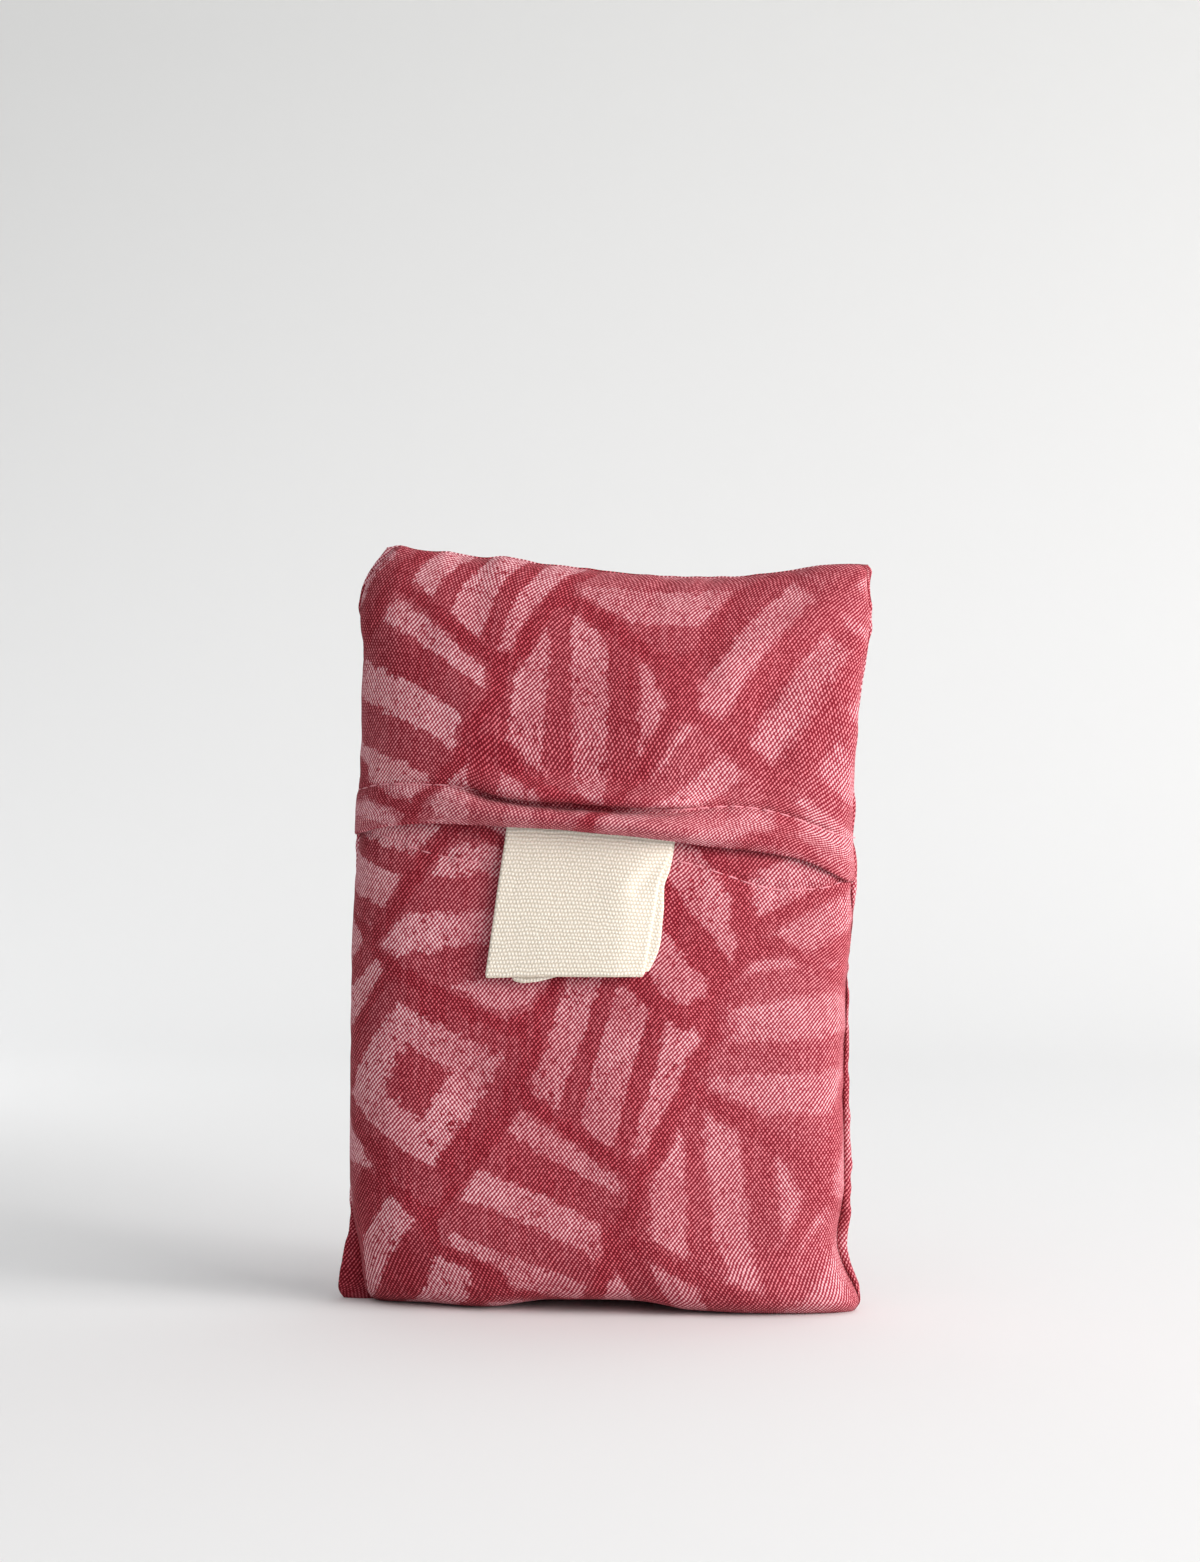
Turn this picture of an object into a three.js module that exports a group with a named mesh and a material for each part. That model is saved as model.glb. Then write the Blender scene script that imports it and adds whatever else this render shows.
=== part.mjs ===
import * as THREE from 'three';

// Reusable shopping bag, folded away inside its own pouch and standing upright.
// Millimetres, +Z up. The front faces -Y and the floor is at height 0.

// Driving sizes
const seamHalf = 0.6;            // half the thickness of the sewn side seam
const clothGap = 0.35;           // space between two pieces that lie on each other
const flapThickness = 1.6;
const labelThickness = 1;
const lipHeight = 93;            // mean height of the flap's lower edge
const hemWidth = 9;              // from the lip up to the hem's stitch line
const crownStart = 112;          // above this height the filling closes to the top edge
const pouchHeight = 147;         // mean height of the top edge
const crownRoundness = 2.6;
const topSeam = 0.3;             // how far the top edge stands above the crown
const seamPlane = 1.2;           // the side seams' place behind the middle of the whole
const footHalf = 30;             // the foot's flat face is full up to here, then narrows to both ears
const footFront = 4.8;
const footBack = 5.4;
const flapLedge = clothGap + flapThickness;
const ledgeRise = 12;            // above the lip, the pouch steps in by the ledge over this height
const holdRise = 6;              // the label holds the hem off the pouch up to here
const closeRise = 11.5;          // and from here on the flap lies on the pouch again
const foldMargin = 1.6;          // folds fade out towards the seams, faster where this is larger

// Heights between which the grid's rows turn to follow the lip's slant, and turn back
const slantRows = { start: 55, full: 86, hold: lipHeight + 15, end: crownStart + 16 };

// Side edges, seen from the front, a row for each section
const outline = [
  { height: 0, left: -53.1, right: 51.7 },
  { height: 4, left: -52.8, right: 51.2 },
  { height: 9, left: -51.6, right: 49.9 },
  { height: 14, left: -50.7, right: 49.0 },
  { height: 21, left: -50.3, right: 49.8 },
  { height: 45, left: -49.8, right: 49.5 },
  { height: 60, left: -49.7, right: 49.6 },
  { height: 72, left: -49.4, right: 49.1 },
  { height: 82, left: -49.0, right: 49.3 },
  { height: 93, left: -48.8, right: 50.0 },
  { height: 101, left: -48.3, right: 50.1 },
  { height: 110, left: -47.7, right: 50.5 },
  { height: 122, left: -47.4, right: 51.7 },
  { height: 130, left: -47.6, right: 53.0 },
  { height: 137, left: -48.4, right: 53.6 },
  { height: 141, left: -47.2, right: 53.2 },
  { height: 144.5, left: -45.1, right: 53.4 },
  { height: 147, left: -42.9, right: 53.6 },
];

// Width of the flat strip between each side edge and the filled front or back. The strips
// widen into flat ears at the corners, and lie open to the front along the right side.
const seamStrips = [
  { height: 0, frontLeft: 6.4, frontRight: 3.0, backLeft: 4.5, backRight: 3.2 },
  { height: 5, frontLeft: 4.6, frontRight: 2.4, backLeft: 3.0, backRight: 2.0 },
  { height: 10, frontLeft: 2.4, frontRight: 1.9, backLeft: 1.6, backRight: 0.9 },
  { height: 16, frontLeft: 0.8, frontRight: 1.6, backLeft: 1.0, backRight: 0.4 },
  { height: 24, frontLeft: 0.4, frontRight: 1.6, backLeft: 1.0, backRight: 0.4 },
  { height: 60, frontLeft: 0.4, frontRight: 1.6, backLeft: 1.0, backRight: 0.4 },
  { height: 86, frontLeft: 0.5, frontRight: 1.3, backLeft: 1.0, backRight: 0.5 },
  { height: 93, frontLeft: 1.6, frontRight: 1.4, backLeft: 1.0, backRight: 0.6 },
  { height: 105, frontLeft: 0.6, frontRight: 0.7, backLeft: 1.0, backRight: 0.7 },
  { height: 130, frontLeft: 0.5, frontRight: 0.8, backLeft: 1.0, backRight: 1.0 },
  { height: 140, frontLeft: 0.8, frontRight: 1.3, backLeft: 1.4, backRight: 1.8 },
  { height: 147, frontLeft: 1.8, frontRight: 2.2, backLeft: 2.6, backRight: 3.0 },
];

// Depth of the filling before and behind the seams, and how square each section is
const filling = [
  { height: 0, front: 6.6, back: 7.6, fullness: 1.9 },
  { height: 0.8, front: 9.4, back: 10.4, fullness: 1.95 },
  { height: 2, front: 11.4, back: 12.2, fullness: 2.05 },
  { height: 4, front: 13.3, back: 13.9, fullness: 2.2 },
  { height: 7.5, front: 15.2, back: 15.6, fullness: 2.4 },
  { height: 13, front: 16.5, back: 16.8, fullness: 2.6 },
  { height: 22, front: 17.1, back: 17.4, fullness: 2.75 },
  { height: 45, front: 17.3, back: 17.6, fullness: 2.85 },
  { height: 65, front: 16.9, back: 17.5, fullness: 2.85 },
  { height: 78, front: 16.0, back: 17.3, fullness: 2.8 },
  { height: 88, front: 15.0, back: 17.2, fullness: 2.8 },
  { height: 98, front: 14.6, back: 17.0, fullness: 2.8 },
  { height: 112, front: 14.5, back: 16.7, fullness: 2.6 },
  { height: 130, front: 14.2, back: 16.4, fullness: 2.4 },
  { height: 147, front: 13.6, back: 16.0, fullness: 2.2 },
];

// Height of the top edge across the width
const topEdge = [
  { across: -46, height: 150.9 },
  { across: -37, height: 149.9 },
  { across: -25, height: 148.7 },
  { across: -9, height: 147.0 },
  { across: 7, height: 145.2 },
  { across: 19, height: 144.4 },
  { across: 27, height: 144.5 },
  { across: 35, height: 145.3 },
  { across: 43, height: 146.5 },
  { across: 54, height: 146.8 },
];

// Height of the flap's lip across the width, and how far it stands off the front
const lipLine = [
  { across: -49, height: 94.2, lift: 0 },
  { across: -42, height: 95.5, lift: 0.1 },
  { across: -32, height: 96.2, lift: 0.6 },
  { across: -22, height: 96.0, lift: 2.0 },
  { across: -17, height: 95.7, lift: 2.65 },
  { across: 0, height: 94.7, lift: 2.7 },
  { across: 17, height: 92.9, lift: 2.65 },
  { across: 23, height: 92.2, lift: 1.9 },
  { across: 33, height: 90.9, lift: 0.6 },
  { across: 42, height: 88.4, lift: 0.1 },
  { across: 50, height: 85.4, lift: 0 },
];

// How the flap's hem rolls outwards between the lip and the sunken stitch line
const hemRoll = [
  { rise: 0, swell: 0.15 },
  { rise: 1.2, swell: 0.55 },
  { rise: 3.5, swell: 0.9 },
  { rise: 6.5, swell: 0.7 },
  { rise: 8.2, swell: 0.2 },
  { rise: hemWidth, swell: 0 },
  { rise: 10, swell: 0.12 },
  { rise: 15, swell: 0.25 },
  { rise: 22, swell: 0 },
];

// The hanging label: its middle line and its distance from the pouch, by height
const labelHang = [
  { height: 66, middle: -3.6, stand: 0.9 },
  { height: 74, middle: -2.4, stand: 0.5 },
  { height: 84, middle: -1.0, stand: 0.15 },
  { height: 92, middle: 0.1, stand: 0 },
  { height: 100, middle: 0.8, stand: 0 },
];
const labelWidth = 32;
const labelGap = 0.3;            // between the label's two layers
const labelFoldTop = 98.6;       // height of the hidden fold behind the lip
const labelBackShift = 0.9;      // the back layer hangs a little to the right

// Heights of the tape's two cut ends across its width
const labelEnds = [
  { place: 0, front: 66.5, back: 67.4 },
  { place: 0.12, front: 66.7, back: 66.9 },
  { place: 0.2, front: 66.8, back: 65.3 },
  { place: 0.4, front: 67.0, back: 65.7 },
  { place: 0.5, front: 67.1, back: 67.3 },
  { place: 1, front: 67.5, back: 67.6 },
];

// Soft folds: a ridge, or a trough where the size is below 0, along a straight line
const frontFolds = [
  { fromX: 52, fromZ: 143, toX: 27, toZ: 127, width: 3.6, size: 1.3 },
  { fromX: 53, fromZ: 137, toX: 34, toZ: 121, width: 3.0, size: -1.1 },
  { fromX: 52, fromZ: 130, toX: 41, toZ: 111, width: 3.2, size: 0.7 },
  { fromX: 45, fromZ: 124, toX: 47, toZ: 104, width: 2.6, size: -0.5 },
  { fromX: -42, fromZ: 147, toX: -33, toZ: 132, width: 3.6, size: -0.7 },
  { fromX: -47, fromZ: 122, toX: -30, toZ: 119, width: 4.0, size: -0.5 },
  { fromX: 49, fromZ: 17, toX: 41, toZ: 8, width: 2.8, size: -0.9 },
  { fromX: 50, fromZ: 4, toX: 38, toZ: 18, width: 4.5, size: 0.6 },
  { fromX: -49, fromZ: 4, toX: -38, toZ: 20, width: 4.5, size: 0.7 },
  { fromX: -46, fromZ: 58, toX: -24, toZ: 47, width: 5.0, size: -0.5 },
  { fromX: -46, fromZ: 30, toX: -20, toZ: 33, width: 6.0, size: 0.4 },
  { fromX: 46, fromZ: 66, toX: 26, toZ: 58, width: 5.0, size: -0.5 },
  { fromX: 8, fromZ: 4, toX: 4, toZ: 20, width: 6.0, size: -0.5 },
];
const backFolds = [
  { fromX: 50, fromZ: 141, toX: 24, toZ: 120, width: 4.0, size: 0.8 },
  { fromX: -45, fromZ: 141, toX: -26, toZ: 122, width: 4.0, size: -0.7 },
  { fromX: 50, fromZ: 6, toX: 30, toZ: 26, width: 5.0, size: 0.7 },
  { fromX: -50, fromZ: 6, toX: -32, toZ: 24, width: 5.0, size: -0.6 },
  { fromX: -46, fromZ: 84, toX: 0, toZ: 76, width: 6.5, size: -0.6 },
  { fromX: 46, fromZ: 70, toX: 8, toZ: 62, width: 6.5, size: 0.5 },
];

// The front edge is lifted off the floor between the two corners
const archMiddle = 5;
const archHalfWidth = 24;
const archLift = 1.4;
const archFade = 12;

// Grid rows: heights up to the crown, then even turns over it
const columnCount = 38;
const footRows = [0.6, 1.1, 2, 4, 7.5];
const sideRange = { from: 12.5, to: 84, count: 12 };
const underLipRange = { from: 86.5, to: 91.2, count: 3 };
const hemRows = [0, 1.2, 3.2, 5, 6.6, 8, hemWidth, 10, 12, 15];
const crownTurns = 10;
const labelColumns = 10;
const labelStraightSteps = 12;
const labelTurnSteps = 6;

function evenly(from, to, count) {
  return Array.from({ length: count }, (_, index) => from + ((to - from) * index) / (count - 1));
}

function spread({ from, to, count }) {
  return evenly(from, to, count);
}

// Reads a table as smooth curves: each column is a function of the first one
function curveOf(table, along) {
  const columns = Object.keys(table[0]).filter((name) => name !== along);
  const places = table.map((row) => row[along]);
  const values = table.flatMap((row) => columns.map((name) => row[name]));
  const found = new Float32Array(columns.length);
  const spline = new THREE.CubicInterpolant(places, values, columns.length, found);
  return (place) => {
    spline.evaluate(place);
    return Object.fromEntries(columns.map((name, index) => [name, found[index]]));
  };
}

const outlineAt = curveOf(outline, 'height');
const stripsAt = curveOf(seamStrips, 'height');
const fillingAt = curveOf(filling, 'height');
const topAt = curveOf(topEdge, 'across');
const lipAt = curveOf(lipLine, 'across');
const hemAt = curveOf(hemRoll, 'rise');
const labelAt = curveOf(labelHang, 'height');
const labelEndAt = curveOf(labelEnds, 'place');

// How full a section is at a place between its middle, 0, and its sides, -1 and 1
function swellAt(across, fullness) {
  return Math.pow(1 - Math.pow(Math.abs(across), fullness), 1 / fullness);
}

// Height of all the folds together over a point of the front or back
function foldSize(folds, x, z, swell) {
  let size = 0;
  for (const fold of folds) {
    const runX = fold.toX - fold.fromX;
    const runZ = fold.toZ - fold.fromZ;
    const along = ((x - fold.fromX) * runX + (z - fold.fromZ) * runZ) / (runX * runX + runZ * runZ);
    const nearest = THREE.MathUtils.clamp(along, 0, 1);
    const awayX = x - fold.fromX - nearest * runX;
    const awayZ = z - fold.fromZ - nearest * runZ;
    const away = Math.hypot(awayX, awayZ) / fold.width;
    size += fold.size * Math.exp(-away * away);
  }
  return size * Math.min(swell * foldMargin, 1);
}

// Rows near the lip follow its slant, and those above the crown's start reach the top edge
function trueHeight(height, x, topDrop) {
  const near = THREE.MathUtils.smoothstep(height, slantRows.start, slantRows.full);
  const far = THREE.MathUtils.smoothstep(height, slantRows.hold, slantRows.end);
  const slant = (lipAt(x).height - lipHeight) * near * (1 - far);
  const rise = Math.max(height - crownStart, 0) / (pouchHeight - crownStart);
  const reach = topAt(x).height - topDrop - pouchHeight;
  return height + slant + reach * rise;
}

function archSize(x, z) {
  const away = (x - archMiddle) / archHalfWidth;
  return archLift * Math.exp(-Math.pow(away, 4)) * Math.max(1 - z / archFade, 0);
}

// Rows of the front and back grids: a height and the share of the full depth there
const sideRows = [footRows, spread(sideRange), spread(underLipRange)].flat();
const lipRows = hemRows.map((rise) => lipHeight + rise);
const straightRows = [...sideRows, ...lipRows].map((height) => ({ height, share: 1 }));
const crownRows = evenly(0, Math.PI / 2, crownTurns + 1).map((turn) => ({
  height: crownStart + (pouchHeight - crownStart) * Math.pow(Math.sin(turn), 2 / crownRoundness),
  share: Math.pow(Math.cos(turn), 2 / crownRoundness),
}));
crownRows.at(-1).share = 0;
const pouchRows = [...straightRows, ...crownRows];
const flapRows = pouchRows.slice(sideRows.length);

function ledgeAt(height) {
  return flapLedge * THREE.MathUtils.smoothstep(height, lipHeight, lipHeight + ledgeRise);
}

// Where the filled front or back starts at each side
function filledSpan(height, isFront) {
  const { left, right } = outlineAt(height);
  const { frontLeft, frontRight, backLeft, backRight } = stripsAt(height);
  const ledge = isFront ? ledgeAt(height) : 0;
  const from = left + (isFront ? frontLeft : backLeft) + ledge;
  const to = right - (isFront ? frontRight : backRight) - ledge;
  return { middle: (from + to) / 2, half: (to - from) / 2 };
}

// A point on the pouch or on a piece that lies outside it, from -1 at the left to 1 at the right
function coverPoint(across, row, side, outwards) {
  const isFront = side < 0;
  const { middle, half } = filledSpan(row.height, isFront);
  const { front, back, fullness } = fillingAt(row.height);
  const ledge = isFront ? ledgeAt(row.height) : 0;
  const swell = swellAt(across, fullness);
  const x = middle + across * (half + outwards);
  const height = trueHeight(row.height, x, topSeam + ledge - outwards);
  const z = height + (isFront ? archSize(x, height) : 0);
  const rest = outwards > 0 ? seamHalf + clothGap : seamHalf;
  const depth = (isFront ? front : back) + outwards - rest;
  const fold = foldSize(isFront ? frontFolds : backFolds, x, height, swell);
  return new THREE.Vector3(x, side * (rest + (depth + fold) * swell * row.share), z);
}

// The seam strip's outer edge, at the sides and over the top
function rimPoint(end, row, side) {
  const { left, right } = outlineAt(row.height);
  const x = end < 0 ? left : right;
  return new THREE.Vector3(x, side * seamHalf, trueHeight(row.height, x, topSeam));
}

// A closed solid from two grids of the same size whose rims are joined
function closedSolid(outer, inner) {
  const rows = outer.length;
  const columns = outer[0].length;
  const points = [...outer.flat(), ...inner.flat()];
  const faces = [];
  const innerStart = rows * columns;
  const at = (row, column) => row * columns + column;
  const quad = (a, b, c, d) => faces.push(a, b, c, a, c, d);
  for (let row = 0; row < rows - 1; row += 1) {
    for (let column = 0; column < columns - 1; column += 1) {
      const a = at(row, column);
      const b = at(row, column + 1);
      const c = at(row + 1, column + 1);
      const d = at(row + 1, column);
      quad(a, b, c, d);
      faces.push(innerStart + a, innerStart + c, innerStart + b);
      faces.push(innerStart + a, innerStart + d, innerStart + c);
    }
  }
  const joinRim = (from, to) => quad(from, innerStart + from, innerStart + to, to);
  for (let column = 0; column < columns - 1; column += 1) {
    joinRim(at(0, column), at(0, column + 1));
    joinRim(at(rows - 1, column + 1), at(rows - 1, column));
  }
  for (let row = 0; row < rows - 1; row += 1) {
    joinRim(at(row + 1, 0), at(row, 0));
    joinRim(at(row, columns - 1), at(row + 1, columns - 1));
  }
  const geometry = new THREE.BufferGeometry().setFromPoints(points);
  geometry.setIndex(faces);
  geometry.computeVertexNormals();
  return geometry;
}

// The flat face that the pouch stands on, with straight edges
function footPoint(x, side) {
  const { left, right } = outlineAt(0);
  const end = x < 0 ? -left : right;
  const narrowing = THREE.MathUtils.clamp((Math.abs(x) - footHalf) / (end - footHalf), 0, 1);
  const depth = THREE.MathUtils.lerp(side < 0 ? footFront : footBack, seamHalf, narrowing);
  return new THREE.Vector3(x, side * depth, 0);
}

// Places across a grid, closer together towards both edges
const acrossPlaces = evenly(-1, 1, columnCount - 1).map((place) => Math.sin((place * Math.PI) / 2));

// One face of the pouch: the flat foot, the filled face, the side strips and the top strip
function pouchFace(side) {
  const grid = pouchRows.map((row) => [
    rimPoint(-1, row, side),
    ...acrossPlaces.map((across) => coverPoint(across, row, side, 0)),
    rimPoint(1, row, side),
  ]);
  const foot = grid[0].map((point) => footPoint(point.x, side));
  const top = grid.at(-1).map((point) => {
    const height = topAt(point.x).height;
    return new THREE.Vector3(point.x, point.y, height);
  });
  top[0].z += topSeam;
  top.at(-1).z += topSeam;
  return [foot, ...grid, top];
}

function pouchGeometry() {
  return closedSolid(pouchFace(-1), pouchFace(1));
}

// One face of the flap, a given distance outside the pouch
function flapFace(thickness) {
  return flapRows.map((row) => acrossPlaces.map((across) => {
    const rise = row.height - lipHeight;
    const { middle, half } = filledSpan(row.height, true);
    const held = 1 - THREE.MathUtils.smoothstep(rise, holdRise, closeRise);
    const roll = hemAt(rise).swell * Math.sqrt(1 - across * across);
    const lift = Math.max(lipAt(middle + across * half).lift, 0) * held;
    return coverPoint(across, row, -1, clothGap + lift + roll + thickness);
  }));
}

function flapGeometry() {
  return closedSolid(flapFace(flapThickness), flapFace(0));
}

// A point a given distance before the pouch's front
function standingPoint(x, height, distance) {
  const { middle, half } = filledSpan(height, true);
  const { front, fullness } = fillingAt(height);
  const swell = swellAt((x - middle) / half, fullness);
  const z = trueHeight(height, x, 0);
  const depth = front - seamHalf + foldSize(frontFolds, x, z, swell);
  return new THREE.Vector3(x, -(seamHalf + depth * swell + distance), z);
}

// One face of the folded tape: up the front layer, over the fold and down the back layer
function labelFace(isOuter) {
  const foldRadius = (labelThickness + labelGap) / 2;
  const foldMiddle = clothGap + labelThickness + labelGap / 2;
  const turnHeight = labelFoldTop - foldRadius - labelThickness / 2;
  const radius = foldRadius + (isOuter ? labelThickness : -labelThickness) / 2;
  const rises = evenly(0, 1, labelStraightSteps + 1);
  const turns = evenly(0, Math.PI, labelTurnSteps + 1).slice(1, -1);
  const stations = [
    ...rises.map((rise) => ({ rise, turn: 0 })),
    ...turns.map((turn) => ({ rise: 1, turn })),
    ...rises.toReversed().map((rise) => ({ rise, turn: Math.PI })),
  ];
  const places = evenly(0, 1, labelColumns + 1);
  return stations.map(({ rise, turn }) => places.map((place) => {
    const isBack = turn > Math.PI / 2;
    const { front, back } = labelEndAt(place);
    const bottom = isBack ? back : front;
    const height = THREE.MathUtils.lerp(bottom, turnHeight, rise) + radius * Math.sin(turn);
    const { middle, stand } = labelAt(height);
    const shift = isBack ? labelBackShift * (1 - rise) : 0;
    const x = middle + (place - 0.5) * labelWidth + shift;
    return standingPoint(x, height, foldMiddle + radius * Math.cos(turn) + stand);
  }));
}

function labelGeometry() {
  return closedSolid(labelFace(true), labelFace(false));
}

const printedCloth = new THREE.MeshStandardMaterial({ color: '#a84a58', roughness: 0.9, metalness: 0 });
const flapCloth = new THREE.MeshStandardMaterial({ color: '#b4616f', roughness: 0.9, metalness: 0 });
const cottonTape = new THREE.MeshStandardMaterial({ color: '#ebe2d3', roughness: 0.95, metalness: 0 });

function pieceOf(name, geometry, material) {
  const mesh = new THREE.Mesh(geometry, material);
  mesh.name = name;
  return mesh;
}

const bag = new THREE.Group();
bag.add(pieceOf('pouch', pouchGeometry(), printedCloth));
bag.add(pieceOf('flap', flapGeometry(), flapCloth));
bag.add(pieceOf('label', labelGeometry(), cottonTape));
bag.position.y = seamPlane;

export default bag;
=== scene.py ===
# Reusable shopping bag folded away in its own pouch: the looks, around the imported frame.
import math

import bpy
import numpy as np
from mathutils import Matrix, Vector


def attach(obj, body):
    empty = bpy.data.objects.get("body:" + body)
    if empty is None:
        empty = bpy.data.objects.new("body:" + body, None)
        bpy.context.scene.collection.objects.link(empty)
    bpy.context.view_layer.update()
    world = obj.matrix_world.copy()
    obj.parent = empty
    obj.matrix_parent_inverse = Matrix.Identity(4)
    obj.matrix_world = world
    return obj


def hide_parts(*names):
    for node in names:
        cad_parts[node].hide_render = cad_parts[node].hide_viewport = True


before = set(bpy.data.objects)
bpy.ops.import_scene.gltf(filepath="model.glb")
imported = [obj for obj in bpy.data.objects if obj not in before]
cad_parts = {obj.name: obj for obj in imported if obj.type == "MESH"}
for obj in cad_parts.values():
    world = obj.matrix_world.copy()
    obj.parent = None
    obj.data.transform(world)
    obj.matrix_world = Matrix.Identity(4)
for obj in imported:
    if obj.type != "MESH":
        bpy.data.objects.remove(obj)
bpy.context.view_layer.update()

mm = 0.001


# Small helpers: tables, smooth steps and soft noise

noiseCells = 64               # the soft noise repeats after so many cells
tiny = 1e-9                   # keeps a length of nought from being divided by


def columnsOf(names, rows):
    return dict(zip(names.split(), np.array(rows, float).T))


# smooth curve through a table's column, along its first column
def readAt(table, name, places):
    along = table[next(iter(table))]
    values = table[name]
    slopes = np.gradient(values, along)
    places = np.asarray(places, float)
    before = np.clip(np.searchsorted(along, places) - 1, 0, len(along) - 2)
    step = along[before + 1] - along[before]
    t = np.clip((places - along[before]) / step, 0, 1)
    start = (1 + 2 * t) * (1 - t) ** 2 * values[before] + t * (1 - t) ** 2 * step * slopes[before]
    end = t * t * (3 - 2 * t) * values[before + 1] - t * t * (1 - t) * step * slopes[before + 1]
    return start + end


def smoothStep(value, low, high):
    t = np.clip((value - low) / (high - low), 0, 1)
    return t * t * (3 - 2 * t)


def softNoise(u, v, sizeU, sizeV, seed):
    lattice = np.random.default_rng(seed).uniform(-1, 1, (noiseCells, noiseCells))
    u, v = np.broadcast_arrays(u / sizeU, v / sizeV)
    i, j = np.floor(u).astype(int), np.floor(v).astype(int)
    s, t = smoothStep(u - i, 0, 1), smoothStep(v - j, 0, 1)
    i, j, nextI, nextJ = i % noiseCells, j % noiseCells, (i + 1) % noiseCells, (j + 1) % noiseCells
    low = lattice[i, j] * (1 - s) + lattice[nextI, j] * s
    high = lattice[i, nextJ] * (1 - s) + lattice[nextI, nextJ] * s
    return low * (1 - t) + high * t


# layers of soft noise added up: a row is a size across and up, in millimetres, a seed and a strength
def noiseSum(u, v, rows, seed=0, base=0.0):
    total = base
    for sizeU, sizeV, ownSeed, strength in rows:
        total = total + strength * softNoise(u, v, sizeU, sizeV, seed + ownSeed)
    return total


# The pouch's form, in millimetres: a row for each section

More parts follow.
